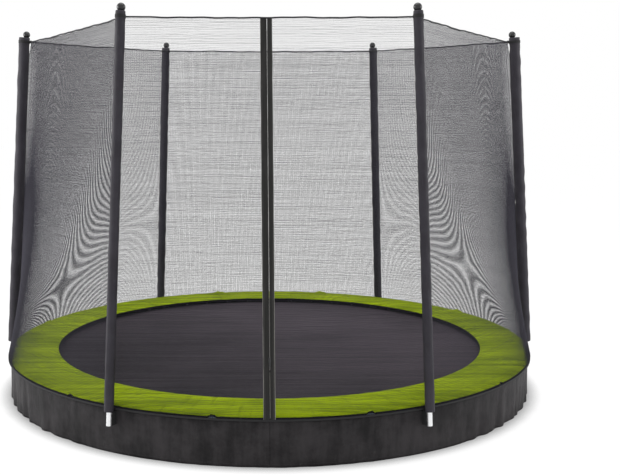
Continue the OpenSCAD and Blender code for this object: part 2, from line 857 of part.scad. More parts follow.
module zip_pull_outer() {
    color("dimgray")
        on_zip()
            translate([0, -pull_axis_y, slider_s])
                zip_pull();
}

// The inner pull hangs plumb, a little away from the leaning zip
module zip_pull_inner() {
    color("dimgray")
        on_zip()
            translate([0, pull_axis_y, slider_s])
                rotate([-zip_tilt_x, 0, 0])
                    zip_pull();
}

// ---- the pieces --------------------------------------------------------------------

rail(1);  // rail_1
rail(2);  // rail_2
rail(3);  // rail_3
rail(4);  // rail_4
rail(5);  // rail_5
rail(6);  // rail_6
t_socket(1);  // t_socket_1
t_socket(2);  // t_socket_2
t_socket(3);  // t_socket_3
t_socket(4);  // t_socket_4
t_socket(5);  // t_socket_5
t_socket(6);  // t_socket_6
u_leg(1);  // u_leg_1
u_leg(2);  // u_leg_2
u_leg(3);  // u_leg_3
springs();
jump_mat();
mat_edge_band();
mat_rings();
safety_pad();
pad_ties();
skirt(1);  // skirt_1
skirt(2);  // skirt_2
skirt(3);  // skirt_3
skirt(4);  // skirt_4
skirt(5);  // skirt_5
skirt(6);  // skirt_6
skirt_ties();
pole(1);  // pole_1
pole(2);  // pole_2
pole(3);  // pole_3
pole(4);  // pole_4
pole(5);  // pole_5
pole(6);  // pole_6
pole_sleeve(1);  // pole_sleeve_1
pole_sleeve(2);  // pole_sleeve_2
pole_sleeve(3);  // pole_sleeve_3
pole_sleeve(4);  // pole_sleeve_4
pole_sleeve(5);  // pole_sleeve_5
pole_sleeve(6);  // pole_sleeve_6
pole_caps();
inner_spacers();
outer_spacers();
pole_bolts();
net_front_left();
net_front_right();
net_panel(2);  // net_2
net_panel(3);  // net_3
net_panel(4);  // net_4
net_panel(5);  // net_5
net_panel(6);  // net_6
net_top_hem();
net_bottom_hem();
net_straps();
net_ties();
zip_tapes();
zip_teeth();
zip_slider();
zip_pull_outer();
zip_pull_inner();
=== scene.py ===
import math
import random

import bpy
import numpy as np
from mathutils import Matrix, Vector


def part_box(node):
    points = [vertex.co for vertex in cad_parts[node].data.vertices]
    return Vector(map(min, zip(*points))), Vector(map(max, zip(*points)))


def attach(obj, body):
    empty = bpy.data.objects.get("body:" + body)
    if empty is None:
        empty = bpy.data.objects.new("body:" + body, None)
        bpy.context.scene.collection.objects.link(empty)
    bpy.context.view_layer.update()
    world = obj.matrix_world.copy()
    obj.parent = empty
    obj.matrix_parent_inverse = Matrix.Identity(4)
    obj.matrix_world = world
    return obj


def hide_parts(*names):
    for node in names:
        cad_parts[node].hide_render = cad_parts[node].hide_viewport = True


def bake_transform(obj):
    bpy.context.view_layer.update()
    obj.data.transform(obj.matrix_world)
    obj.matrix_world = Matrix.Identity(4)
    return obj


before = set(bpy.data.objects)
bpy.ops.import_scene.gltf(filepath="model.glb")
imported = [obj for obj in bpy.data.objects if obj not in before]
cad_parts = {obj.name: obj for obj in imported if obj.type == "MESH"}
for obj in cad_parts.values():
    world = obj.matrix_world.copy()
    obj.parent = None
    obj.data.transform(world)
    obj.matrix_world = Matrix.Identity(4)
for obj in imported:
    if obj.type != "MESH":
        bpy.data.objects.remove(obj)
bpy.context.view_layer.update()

# ---- sizes, in metres and radians ----

RING_R = 1.495                      # middle of the ring rail
RAIL_Z = 0.206
RAIL_R = 0.019
MAT_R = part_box("jump_mat")[1].x
MAT_Z = (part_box("jump_mat")[0].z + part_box("jump_mat")[1].z) / 2
MAT_T = 0.0018
PAD_LOW, PAD_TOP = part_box("safety_pad")[0].z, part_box("safety_pad")[1].z
PAD_R = RING_R + 0.043
PAD_W = 0.281
PAD_IN_R = PAD_R - PAD_W
SKIRT_R = RING_R + 0.033
SKIRT_TOP = RAIL_Z + 0.016
SKIRT_T = 0.0016
POLE_R = RING_R + 0.069             # pole's axis at the height of the pad's top
POLE_TOP = 2.108
POLES = range(1, 7)
SIDE_POLES = (3, 6)
SIDE_DROP = 0.022                   # how much lower the two side poles stand
LEAN_IN, SIDE_LEAN_IN = 0.150, 0.131
TUBE_R = 0.0127
SLEEVE_R = {1: 0.0235, 2: 0.0235, 3: 0.032, 4: 0.028, 5: 0.028, 6: 0.032}
SLEEVE_IN = 0.020                   # from a pole's axis to the side of its sleeve that faces the net
SLEEVE_FOOT = RAIL_Z + 0.010
BALL_R = 0.0205
STRAP_H = 0.016
STRAP_T = 0.0015
STRAP_PLAY = 0.0003
KNOT_OUT = 0.0056                   # from a strap to the turn of the hem
NET_R = RING_R + 0.048
NET_FOOT = PAD_LOW + 0.003
NET_TOP = 2.046
FOOT_HEM_H, FOOT_HEM_T = 0.010, 0.0018
HEM_R = 0.004
HEM_SAG = 0.004
LEG_SPAN = math.radians(57.4)
LEG_TURN = math.radians(120)
FRONT = -math.pi / 2
SPRINGS = 54
SPRING_STEP = 2 * math.pi / SPRINGS
PAD_TIES = [math.radians(a) for a in (-158, -129.2, -99.8, -72.3, -39.8, -12, 8, 31, 75, 104.5, 138, 162)]
ZIP_FOOT = np.array([0.004, -NET_R, NET_FOOT])
LEFT_TAPE_W = 0.028
RIGHT_TAPE_W = 0.021


def pole_az(i):
    """Azimuth of pole i, from 1, the left front pole, anticlockwise from above."""
    return FRONT + (i - 1) // 2 * LEG_TURN + (LEG_SPAN / 2 if i % 2 == 0 else -LEG_SPAN / 2)


def span_after(i):
    """The angle from pole i to the next."""
    return LEG_SPAN if i % 2 else LEG_TURN - LEG_SPAN


def drop(i):
    return SIDE_DROP if i in SIDE_POLES else 0.0


def lean(i):
    return math.atan((SIDE_LEAN_IN if i in SIDE_POLES else LEAN_IN) / (POLE_TOP - PAD_TOP))


def pole_at(i, z):
    """How far the axis of pole i stands from the middle at height z."""
    return POLE_R - (z - PAD_TOP) * math.tan(lean(i))


def circle(steps):
    """Evenly spaced azimuths, all round."""
    return np.linspace(0, 2 * math.pi, steps, endpoint=False)


def polar(r, az, z):
    return np.stack(np.broadcast_arrays(r * np.cos(az), r * np.sin(az), z), -1)


UP = np.array([0.0, 0.0, 1.0])


def unit(points):
    """The level direction from the middle axis to each point."""
    flat = points * [1.0, 1.0, 0.0]
    return flat / np.linalg.norm(flat, axis=-1, keepdims=True)


def corner(i):
    """Where the net's top hem turns at a pole."""
    i = (i - 1) % 6 + 1
    z = NET_TOP - drop(i)
    r = pole_at(i, z) - (SLEEVE_IN + STRAP_T + STRAP_PLAY) / math.cos(lean(i)) - KNOT_OUT
    return polar(r, pole_az(i), z)


ZIP_HEAD = np.array([-0.012, corner(1)[1], NET_TOP - HEM_R])
ZIP_UP = (ZIP_HEAD - ZIP_FOOT) / np.linalg.norm(ZIP_HEAD - ZIP_FOOT)
ZIP_L = float(np.linalg.norm(ZIP_HEAD - ZIP_FOOT))
ZIP_RIGHT = np.cross([0.0, 1.0, 0.0], ZIP_UP)
ZIP_RIGHT /= np.linalg.norm(ZIP_RIGHT)
ZIP_OUT = np.cross(ZIP_RIGHT, ZIP_UP)


# ---- camera ----

scene = bpy.context.scene
camera = bpy.data.objects.new("camera", bpy.data.cameras.new("camera"))
scene.collection.objects.link(camera)
camera.location = (0.0, -5.704, 1.600)
camera.rotation_euler = (math.radians(90 - 7.374), 0.0, 0.0)
camera.data.sensor_width = 36
camera.data.lens = 55.27
camera.data.shift_x = 0.0655
scene.camera = camera


# ---- shader arithmetic ----

class Wire:
    """A shader socket in an expression. Each operator adds one node."""

    def __init__(self, finish, socket):
        self.finish = finish
        self.socket = socket

    def __add__(self, other):
        return self.finish.combine("ADD", self, other)

    def __radd__(self, other):
        return self.finish.combine("ADD", other, self)

    def __sub__(self, other):
        return self.finish.combine("SUBTRACT", self, other)

    def __rsub__(self, other):
        return self.finish.combine("SUBTRACT", other, self)

    def __mul__(self, other):
        return self.finish.combine("MULTIPLY", self, other)


class Finish:
    """A material in the making."""

    def __init__(self, name):
        self.material = bpy.data.materials.new(name)
        self.material.use_nodes = True
        self.tree = self.material.node_tree
        self.tree.nodes.clear()

    def node(self, kind, settings=None, sockets=None, out=0):
        """Adds a node, with its settings first and then the values or links of its sockets."""
        made = self.tree.nodes.new("ShaderNode" + kind)
        for name, value in (settings or {}).items():
            setattr(made, name, value)
        for name, value in (sockets or {}).items():
            socket = self.find(made, name)
            if isinstance(value, Wire):
                self.tree.links.new(value.socket, socket)
            else:
                socket.default_value = value
        return Wire(self, made.outputs[out]) if made.outputs else None

    def find(self, made, name):
        if isinstance(name, int):
            return made.inputs[name]
        return next(s for s in made.inputs if name in (s.identifier, s.name))

    def combine(self, operation, a, b):
        has_vector = any(isinstance(x, tuple) or isinstance(x, Wire) and x.socket.type != "VALUE"
                         for x in (a, b))
        if not has_vector:
            return self.node("Math", {"operation": operation}, {0: a, 1: b})
        whole = [(x,) * 3 if isinstance(x, (int, float)) else x for x in (a, b)]
        return self.node("VectorMath", {"operation": operation}, {0: whole[0], 1: whole[1]})

    def place(self):
        """Position in the object's own frame, in metres."""
        return self.node("TexCoord", out="Object")

    def lay(self):
        """Position on the flat cloth, in metres: across, then along."""
        return self.node("Attribute", {"attribute_name": "lay"}, out="Vector")

    def outputs(self, wire, names):
        """Other outputs of the node that a wire comes from."""
        return [Wire(self, wire.socket.node.outputs[name]) for name in names]

    def split(self, vector):
        return self.outputs(self.node("SeparateXYZ", sockets={0: vector}), "XYZ")

    def noise(self, scale, detail=3.0, roughness=0.55, at=None):
        """Noise over a position, by default the place."""
        return self.node("TexNoise", sockets={"Vector": at or self.place(), "Scale": scale, "Detail": detail,
                                              "Roughness": roughness})

    def streaks(self, at, across, along, detail=3.0, roughness=0.55):
        """Noise with a scale of its own in each direction."""
        return self.noise(1.0, detail, roughness, at * (across, along, 1.0))

    def wave(self, x, pitch):
        """From 0 to 1 and back over each pitch."""
        return self.node("Math", {"operation": "SINE"}, {0: x * (2 * math.pi / pitch)}) * 0.5 + 0.5

    def weave(self, x, y, pitch, pitch_y=None):
        """Threads that cross."""
        return self.wave(x, pitch) * 0.5 + self.wave(y, pitch_y or pitch) * 0.5

    def step(self, value, low, high):
        return self.node("MapRange", {"interpolation_type": "SMOOTHSTEP"},
                         {"Value": value, "From Min": low, "From Max": high})

    def most(self, a, b):
        return self.node("Math", {"operation": "MAXIMUM"}, {0: a, 1: b})

    def distance(self, a, b):
        return self.node("Math", {"operation": "ABSOLUTE"}, {0: a - b})

    def blend(self, share, a, b):
        """Colour a where share is 0, and b where it is 1."""
        return self.node("Mix", {"data_type": "RGBA"},
                         {"Factor_Float": share, "A_Color": a, "B_Color": b}, out=2)

    def dress(self, tone, roughness, specular=0.5, metallic=0.0, bump=None):
        """Ends the material with a Principled shader; bump is a height, its depth and its strength."""
        sockets = {"Base Color": tone, "Roughness": roughness, "Specular IOR Level": specular,
                   "Metallic": metallic}
        if bump:
            sockets["Normal"] = self.node("Bump", sockets=dict(zip(("Height", "Distance", "Strength"), bump)))
        self.node("OutputMaterial", sockets={"Surface": self.node("BsdfPrincipled", sockets=sockets)})
        return self.material


def material(maker):
    """Turns a function into the material that it describes, under the function's name."""
    return maker(Finish(maker.__name__))


def rgb(r, g, b):
    return (r, g, b, 1.0)


def grey(level):
    return rgb(level, level, level)


# ---- finishes ----

@material
def pad_cover_green(f):
    at, lay = f.place(), f.lay()
    x, y, _ = f.split(at)
    cloud = f.noise(3.2)
    weave = f.weave(x, y, 0.0024, 0.0030)
    tone = f.blend(f.step(cloud * 0.35 + f.streaks(at, 1.3, 36.0) * 0.65, 0.34, 0.66),
                   rgb(0.235, 0.330, 0.001), rgb(0.545, 0.720, 0.003))
    # painted shade of folds: darker smudges drawn out from the pad's outer edge towards its inner edge
    crease = f.step(f.streaks(lay, 3.0, 26.0, 4.0, 0.6), 0.52, 0.78)
    tone = f.blend(crease * 0.6, tone, rgb(0.130, 0.180, 0.002))
    tone = f.blend(weave * 0.16, tone, rgb(0.17, 0.25, 0.003))
    height = weave * 0.22 + f.streaks(lay, 6.0, 40.0) * 0.8 + cloud
    return f.dress(tone, f.noise(40.0) * 0.14 + 0.5, specular=0.02, bump=(height, 0.0032, 0.8))


@material
def pad_backing_black(f):
    x, y, _ = f.split(f.place())
    tone = f.blend(f.noise(9.0, 4.0), grey(0.003), grey(0.008))
    return f.dress(tone, f.noise(60.0) * 0.15 + 0.5, specular=0.05,
                   bump=(f.weave(x, y, 0.003), 0.0004, 0.5))


@material
def mat_weave(f):
    """A basket weave in faint bands, with a painted reflection that makes it paler towards the back and the
    right and darker towards the front and the left.
    """
    at = f.place()
    x, y, _ = f.split(at)
    warp, weft = f.wave(x, 0.0032), f.wave(y, 0.0024)
    basket = warp * weft + (1 - warp) * (1 - weft)
    band = f.streaks(at, 0.8, 34.0, 4.0, 0.6) * 0.6 + f.noise(1.6, 2.0) * 0.4
    tone = f.blend(f.step(band, 0.32, 0.68), rgb(0.012, 0.008, 0.013), rgb(0.078, 0.063, 0.078))
    tone = f.blend(basket * 0.45, tone, rgb(0.018, 0.015, 0.019))
    # painted reflection: paler towards the back and the right, darker towards the front and the left
    painted_reflection_share = f.step(y * 0.8 + x * 0.7, -1.1, 1.1)
    darker, paler = f.blend(0.36, tone, grey(0.0)), f.blend(0.045, tone, rgb(0.6, 0.5, 0.6))
    return f.dress(f.blend(painted_reflection_share, darker, paler), f.noise(30.0) * 0.12 + 0.6, specular=0.12,
                   bump=(basket, 0.0005, 0.5))


@material
def skirt_cloth(f):
    """Coated cloth with blotches, dust near the ground and a row of stitches above its hem."""
    lay = f.lay()
    across, up, _ = f.split(lay)
    blotch = f.noise(4.5, 6.0, 0.66)
    tone = f.blend(f.step(blotch * 0.7 + f.streaks(lay, 22.0, 3.0, 4.0) * 0.3, 0.36, 0.66),
                   rgb(0.013, 0.012, 0.013), rgb(0.058, 0.053, 0.056))
    dust = f.step(f.noise(38.0, 4.0, 0.7), 0.58, 0.76) * f.step(up, 0.10, 0.0)
    tone = f.blend(dust * 0.5, tone, rgb(0.115, 0.112, 0.108))
    stitches = f.step(f.distance(up, 0.014), 0.0014, 0.0006) * f.step(f.wave(across, 0.007), 0.25, 0.45)
    tone = f.blend(stitches * 0.6, tone, rgb(0.075, 0.073, 0.075))
    height = (f.weave(across, up, 0.0016) * 0.15 + f.streaks(lay, 16.0, 5.0, 4.0) + blotch * 0.6
              + stitches * 0.3)
    return f.dress(tone, blotch * 0.22 + 0.45, specular=0.16, bump=(height, 0.0060, 0.9))


@material
def sleeve_cloth(f):
    """Twill, rubbed paler in places, with one dark seam along the sleeve."""
    lay = f.lay()
    around, up, _ = f.split(lay)
    twill = f.weave(around + up * 0.5, around - up * 0.5, 0.0014)
    cloud = f.noise(9.0, 4.0)
    rub = f.streaks(lay, 40.0, 9.0, 4.0)
    tone = f.blend(f.step(cloud, 0.3, 0.7), rgb(0.027, 0.024, 0.032), rgb(0.043, 0.039, 0.050))
    tone = f.blend(f.step(rub, 0.55, 0.8) * 0.5, tone, rgb(0.072, 0.067, 0.080))
    seam = f.step(f.distance(around, 0.002), 0.0012, 0.0004)
    tone = f.blend(seam * 0.7, tone, rgb(0.010, 0.009, 0.012))
    height = twill * 0.2 + rub * 0.6 + cloud * 0.4 - seam * 0.8
    return f.dress(tone, cloud * 0.2 + 0.45, specular=0.3, bump=(height, 0.0016, 0.7))


@material
def webbing_black(f):
    across, along, _ = f.split(f.lay())
    rib = f.wave(across, 0.0017) * 0.6 + f.wave(along, 0.0021) * 0.4
    tone = f.blend(rib, rgb(0.009, 0.009, 0.010), rgb(0.028, 0.028, 0.029))
    tone = f.blend(f.noise(24.0) * 0.5, tone, rgb(0.030, 0.029, 0.031))
    return f.dress(tone, 0.62 + rib * 0.12, specular=0.3, bump=(rib, 0.0005, 0.7))


@material
def zip_tape_cloth(f):
    """Tape with a row of pale thread along its outer edge and a fainter one further in."""
    lay = f.lay()
    across, along, _ = f.split(lay)
    rib = f.weave(across, along, 0.0015, 0.0020)
    tone = f.blend(rib, rgb(0.009, 0.009, 0.008), rgb(0.019, 0.018, 0.017))
    tone = f.blend(f.step(f.streaks(lay, 30.0, 5.0), 0.4, 0.75) * 0.6, tone, rgb(0.036, 0.034, 0.033))
    row = f.most(f.step(f.distance(across, 0.0014), 0.0014, 0.0009),
                 f.step(f.distance(across, 0.0075), 0.0008, 0.0004) * 0.25)
    thread = row * f.step(f.wave(along, 0.0055), 0.05, 0.2)
    low_part = 1 - f.step(along, 0.30, 0.95) * 0.7
    tone = f.blend(thread * low_part, tone, rgb(0.42, 0.41, 0.38))
    return f.dress(tone, 0.6 + rib * 0.12, specular=0.3, bump=(rib * 0.5 + thread, 0.0006, 0.7))


@material
def hem_cloth(f):
    across, along, _ = f.split(f.lay())
    twist = f.wave(along + across * 0.7, 0.006)
    tone = f.blend(f.noise(60.0) * 0.5 + twist * 0.5, rgb(0.014, 0.014, 0.016), rgb(0.050, 0.050, 0.055))
    return f.dress(tone, 0.65, specular=0.3, bump=(twist, 0.0006, 0.6))


def thread_like(name, scale, dark, light, roughness, specular):
    """A cord or thread so thin that only its tone varies."""
    f = Finish(name)
    fibre = f.noise(scale, 2.0)
    return f.dress(f.blend(fibre, dark, light), fibre * 0.1 + roughness, specular=specular)


@material
def cap_gloss(f):
    grain = f.noise(300.0, 2.0)
    tone = f.blend(grain, rgb(0.008, 0.008, 0.009), rgb(0.016, 0.016, 0.017))
    return f.dress(tone, f.noise(60.0) * 0.08 + 0.14, bump=(grain, 0.00012, 0.4))


@material
def spacer_moulded(f):
    grain = f.noise(900.0, 2.0)
    tone = f.blend(f.noise(30.0), rgb(0.014, 0.014, 0.015), rgb(0.026, 0.026, 0.027))
    return f.dress(tone, grain * 0.15 + 0.5, bump=(grain, 0.0002, 0.5))


def galvanised(name, dark, light, roughness):
    """Zinc with its spangle, and white bloom in places."""
    f = Finish(name)
    at = f.place()
    spangle = f.node("TexVoronoi", {"feature": "F1"}, {"Vector": at, "Scale": 110.0}, out="Color")
    patch = f.split(spangle)[0]
    cloud = f.noise(14.0, 4.0)
    tone = f.blend(patch * 0.5 + cloud * 0.5, dark, light)
    bloom = f.step(f.noise(26.0, 5.0, 0.7), 0.66, 0.8)
    tone = f.blend(bloom * 0.4, tone, rgb(0.75, 0.75, 0.73))
    return f.dress(tone, patch * 0.14 + roughness, metallic=0.85, bump=(patch * 0.4 + cloud, 0.0003, 0.4))


@material
def wire_steel(f):
    drawn = f.noise(160.0)
    tone = f.blend(drawn, rgb(0.46, 0.47, 0.49), rgb(0.70, 0.71, 0.73))
    return f.dress(tone, drawn * 0.2 + 0.24, metallic=1.0, bump=(drawn, 0.0001, 0.4))


def zip_tooth_plastic(name, dark, light):
    f = Finish(name)
    return f.dress(f.blend(f.noise(130.0), dark, light), f.noise(200.0) * 0.1 + 0.38)


@material
def zip_metal(f):
    """Dark paint, worn through to the metal in places."""
    worn = f.step(f.noise(240.0, 4.0, 0.7), 0.60, 0.74)
    tone = f.blend(worn, rgb(0.030, 0.030, 0.032), rgb(0.34, 0.34, 0.35))
    return f.dress(tone, 0.38 - worn * 0.1, metallic=worn * 0.8, bump=(f.noise(500.0), 0.0001, 0.4))


@material
def tie_elastic(f):
    across, along, _ = f.split(f.lay())
    braid = f.wave(along + across, 0.0030) * f.wave(along - across, 0.0030)
    tone = f.blend(braid, rgb(0.010, 0.010, 0.011), rgb(0.040, 0.040, 0.042))
    return f.dress(tone, 0.6 + braid * 0.1, bump=(braid, 0.0005, 0.7))


@material
def backing_blue(f):
    """The underside of the pad's cover, seen where it is turned up."""
    x, _, z = f.split(f.place())
    weave = f.weave(x, z, 0.002)
    tone = f.blend(weave * 0.5 + f.noise(60.0) * 0.5, rgb(0.11, 0.15, 0.20), rgb(0.22, 0.28, 0.34))
    return f.dress(tone, 0.55, bump=(weave, 0.0003, 0.5))


NET = thread_like("net_cord", 220.0, rgb(0.034, 0.032, 0.042), rgb(0.060, 0.057, 0.074), 0.65, 0.15)
FRAME_STEEL = galvanised("frame_galvanised", rgb(0.40, 0.42, 0.44), rgb(0.62, 0.64, 0.66), 0.36)
POLE_STEEL = galvanised("pole_galvanised", rgb(0.80, 0.81, 0.82), rgb(0.95, 0.95, 0.96), 0.30)
BOLT_STEEL = galvanised("bolt_zinc", rgb(0.50, 0.51, 0.50), rgb(0.72, 0.72, 0.70), 0.26)
TOOTH = zip_tooth_plastic("zip_tooth_pale", rgb(0.30, 0.30, 0.28), rgb(0.50, 0.49, 0.45))
TOOTH_ROOT = zip_tooth_plastic("zip_tooth_dark", rgb(0.016, 0.015, 0.015), rgb(0.034, 0.032, 0.032))
THREAD = thread_like("sewing_thread", 900.0, rgb(0.30, 0.29, 0.27), rgb(0.52, 0.51, 0.48), 0.6, 0.2)


# ---- making pieces ----

def piece(name, points, faces, finishes, body="frame", lay=None, smooth=True, which=None, nodes=()):
    """A mesh piece that rides on a body and stands for CAD nodes. lay is each point's place on flat cloth."""
    mesh = bpy.data.meshes.new(name)
    mesh.from_pydata(np.asarray(points, float).reshape(-1, 3).tolist(), [], faces)
    for finish in finishes if isinstance(finishes, list) else [finishes]:
        mesh.materials.append(finish)
    if which is not None:
        mesh.polygons.foreach_set("material_index", np.asarray(which, np.int32))
    mesh.polygons.foreach_set("use_smooth", [smooth] * len(mesh.polygons))
    if lay is not None:
        flat = np.zeros((len(mesh.vertices), 3), np.float32)
        flat[:, :2] = np.asarray(lay, float).reshape(-1, 2)
        mesh.attributes.new("lay", "FLOAT_VECTOR", "POINT").data.foreach_set("vector", flat.ravel())
    mesh.update()
    made = bpy.data.objects.new(name, mesh)
    scene.collection.objects.link(made)
    if body:
        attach(made, body)
    if nodes:
        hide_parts(*nodes)
    return made


def grid_faces(rows, cols, wrap_rows=False, wrap_cols=False, first=0):
    """Quads of a grid of points, row by row, closed in either direction if asked."""
    faces = []
    for r in range(rows if wrap_rows else rows - 1):
        for c in range(cols if wrap_cols else cols - 1):
            r1, c1 = (r + 1) % rows, (c + 1) % cols
            faces.append([first + k for k in (r * cols + c, r1 * cols + c, r1 * cols + c1, r * cols + c1)])
    return faces


def prism_faces(rows, cols, first=0, clockwise=False):
    """Faces of a row of closed sections, with a flat face at either end."""
    ends = [list(range(first, first + cols)), list(range(first + (rows - 1) * cols, first + rows * cols))]
    ends[0 if clockwise else 1].reverse()
    return grid_faces(rows, cols, wrap_cols=True, first=first) + ends


def thicken(made, thickness):
    made.modifiers.new("thickness", "SOLIDIFY").thickness = thickness
    made.modifiers["thickness"].offset = 0.0


def tube(path, radius, sides, closed=False):
    """Points, faces and lay of a round tube along a path, with flat ends if it is open."""
    path = np.asarray(path, float)
    count = len(path)
    ahead = np.roll(path, -1, 0) - np.roll(path, 1, 0)
    if not closed:
        ahead[0], ahead[-1] = path[1] - path[0], path[-1] - path[-2]
    ahead /= np.linalg.norm(ahead, axis=1, keepdims=True)
    side = np.cross(ahead[0], UP)
    if np.linalg.norm(side) < 0.2:
        side = np.cross(ahead[0], [1.0, 0.0, 0.0])
    points, flat, run = [], [], 0.0
    for k in range(count):
        side = side - ahead[k] * side.dot(ahead[k])
        side /= np.linalg.norm(side)
        up = np.cross(ahead[k], side)
        run += np.linalg.norm(path[k] - path[k - 1]) if k else 0.0
        for s in range(sides):
            turn = 2 * math.pi * s / sides
            points.append(path[k] + radius * (math.cos(turn) * side + math.sin(turn) * up))
            flat.append((radius * turn, run))
    if closed:
        return points, grid_faces(count, sides, wrap_rows=True, wrap_cols=True), flat
    return points, prism_faces(count, sides), flat


class Bundle:
    """Several meshes gathered into one piece."""

    def __init__(self):
        self.points, self.faces, self.flat = [], [], []

    def add(self, points, faces, flat=None):
        first = len(self.points)
        self.points += [tuple(p) for p in points]
        self.faces += [[first + k for k in face] for face in faces]
        self.flat += list(flat) if flat is not None else [(0.0, 0.0)] * len(points)

    def block(self, centre, x, y, z, half):
        """A box about centre, with half its size along each of three directions."""
        corners = [centre + sx * half[0] * x + sy * half[1] * y + sz * half[2] * z
                   for sx in (-1, 1) for sy in (-1, 1) for sz in (-1, 1)]
        self.add(corners, [[0, 1, 3, 2], [4, 6, 7, 5], [0, 4, 5, 1], [2, 3, 7, 6], [0, 2, 6, 4], [1, 5, 7, 3]])

    def made(self, name, finish, slot, body="frame", smooth=True, nodes=()):
        return piece(name, self.points, self.faces, finish, body, self.flat, smooth, nodes=nodes)


def turned(points, az):
    """Points that are drawn at azimuth 0, turned to azimuth az."""
    x, y, z = np.asarray(points, float).reshape(-1, 3).T
    c, s = math.cos(az), math.sin(az)
    return np.stack([x * c - y * s, x * s + y * c, z], -1)


def ripples(seed, count, short, long):
    """A smooth random relief of about -1 to 1 over a flat sheet: a sum of waves, short to long."""
    rng = random.Random(seed)
    waves = [(2 * math.pi / rng.uniform(short, long), rng.uniform(0, math.pi), rng.uniform(0, 2 * math.pi))
             for _ in range(count)]

    def relief(x, y):
        total = sum(np.sin(k * (x * math.cos(t) + y * math.sin(t)) + p) for k, t, p in waves)
        return total / math.sqrt(count)

    return relief


def ramp(x, slope):
    """Rises from 0 at a slope, and stays at 1."""
    return np.clip(x * slope, 0, 1)


# ---- net ----

LEVEL_PITCH, UPRIGHT_PITCH = 0.008, 0.004
LEVEL_STEPS, UPRIGHT_STEPS = 36, 20
LEVEL_R, DOOR_LEVEL_R = 0.0006, 0.00048
UPRIGHT_R = (0.00036, 0.00036, 0.00045, 0.00060, 0.00063, 0.00060, 0.00049)   # door halves, nets 2 to 6
LEVEL_UNEVEN, UPRIGHT_UNEVEN = 0.09, 0.02   # how far a cord lies off its place, as a share of the pitch
LEVEL_WAVER = 0.22                 # how far a level cord wanders along its run, as a share of the pitch
LEVEL_THICK = 0.45                 # how far a level cord's thickness differs from the usual, as a share
SLACK = 0.0015
EDGE_PULL = 0.0095                 # how far a net's sides reach towards the sleeves, beyond the hem's corners
EDGE_SHARE = 0.1                   # of the net's width, over which that reach falls to nothing
CORD_SIDES = ((1.0, 0.0), (-0.5, -0.87), (-0.5, 0.87))   # a cord's section: outward and sideways
NET_FILL = 2.6                     # half of a cord's surface, over its radius and its length


def net_panel(name, az0, az1, head0, head1, seed, node, chord_part):
    """Cords of one net, drawn out to the ring's arc at the foot and straight between poles above it."""
    width = float(np.linalg.norm(head1 - head0) + NET_R * (az1 - az0)) / 2
    head0, head1 = head0 - HEM_R * UP, head1 - HEM_R * UP
    height = (NET_TOP - HEM_R - NET_FOOT) / math.cos(lean(1))
    slack = ripples(seed, 7, 0.45, 1.3)
    rng = np.random.default_rng(seed)
    chord = (head1 - head0) / np.linalg.norm(head1 - head0)
    outward = np.array([chord[1], -chord[0], 0.0])
    foot0, foot1 = polar(NET_R, np.array([az0, az1]), NET_FOOT)
    upright_r = UPRIGHT_R[seed]
    level_r = DOOR_LEVEL_R if seed < 2 else LEVEL_R

    def at_pole(u):
        """1 at a side that hangs from a pole, falling to 0 along the net."""
        near = np.zeros_like(u)
        if chord_part[0] == 0:
            near = np.maximum(near, np.clip(1 - u / EDGE_SHARE, 0, 1))
        if chord_part[1] == 1:
            near = np.maximum(near, np.clip(1 - (1 - u) / EDGE_SHARE, 0, 1))
        return near ** 2

    def surface(u, v):
        """The net's place u of the way along it and v of the way up."""
        held = ramp(np.minimum.reduce([u, 1 - u, v, 1 - v]), 9)
        straight = foot0 + (foot1 - foot0) * u[..., None]
        bulge = polar(NET_R, az0 + (az1 - az0) * u, NET_FOOT) - straight
        head = head0 + (head1 - head0) * u[..., None]
        share = chord_part[0] + (chord_part[1] - chord_part[0]) * u
        head[..., 2] -= HEM_SAG * 4 * share * (1 - share)
        at = straight + (head - straight) * v[..., None] + bulge * ((1 - v) ** 2)[..., None]
        pull = EDGE_PULL * (0.35 + 0.65 * v) * ramp(v, 6) * ramp(1 - v, 25) * at_pole(u)
        loose = held * slack(u * width, v * height) * SLACK
        return at + outward * loose[..., None] + unit(at) * pull[..., None]

    points, faces, first = [], [], 0
    kinds = ((round(width / UPRIGHT_PITCH), UPRIGHT_STEPS, upright_r, UPRIGHT_UNEVEN, 0.0, 0.0, True),
             (round(height / LEVEL_PITCH), LEVEL_STEPS, level_r, LEVEL_UNEVEN, LEVEL_WAVER, LEVEL_THICK, False))
    for count, steps, usual_r, uneven, waver, thick, is_upright in kinds:
        fixed = (np.arange(count) + 0.5 + uneven * rng.uniform(-1, 1, count)) / count
        a, b = np.meshgrid(fixed, np.linspace(0, 1, steps + 1), indexing="ij")
        turns, phases = rng.uniform(1.5, 5.0, (count, 1)), rng.uniform(0, 1, (count, 1))
        a = a + waver / count * np.sin(math.pi * b) * np.sin(2 * math.pi * (b * turns + phases))
        at = surface(a, b) if is_upright else surface(b, a)
        sideways = chord if is_upright else UP
        radius = usual_r * (1 + thick * rng.uniform(-1, 1, (count, 1, 1)))
        ring = np.stack([at + radius * (x * outward + y * sideways) for x, y in CORD_SIDES], 2)
        points.append(ring.reshape(-1, 3))
        for _ in range(count):
            faces += prism_faces(steps + 1, 3, first)
            first += (steps + 1) * 3
    made = piece(name, np.concatenate(points), faces, NET, nodes=[node])
    cover = NET_FILL * (upright_r / UPRIGHT_PITCH + level_r / LEVEL_PITCH)
    return made, (round(width, 3), round(height, 3)), cover


def zip_edge(side, v):
    """A point where a net meets its tape, v of the way up: side -1 is the left tape and 1 the right."""
    reach = (LEFT_TAPE_W if side < 0 else RIGHT_TAPE_W) - 0.0005
    return ZIP_FOOT + ZIP_UP * ZIP_L * v + ZIP_RIGHT * side * reach + [0, 0, HEM_R * v]


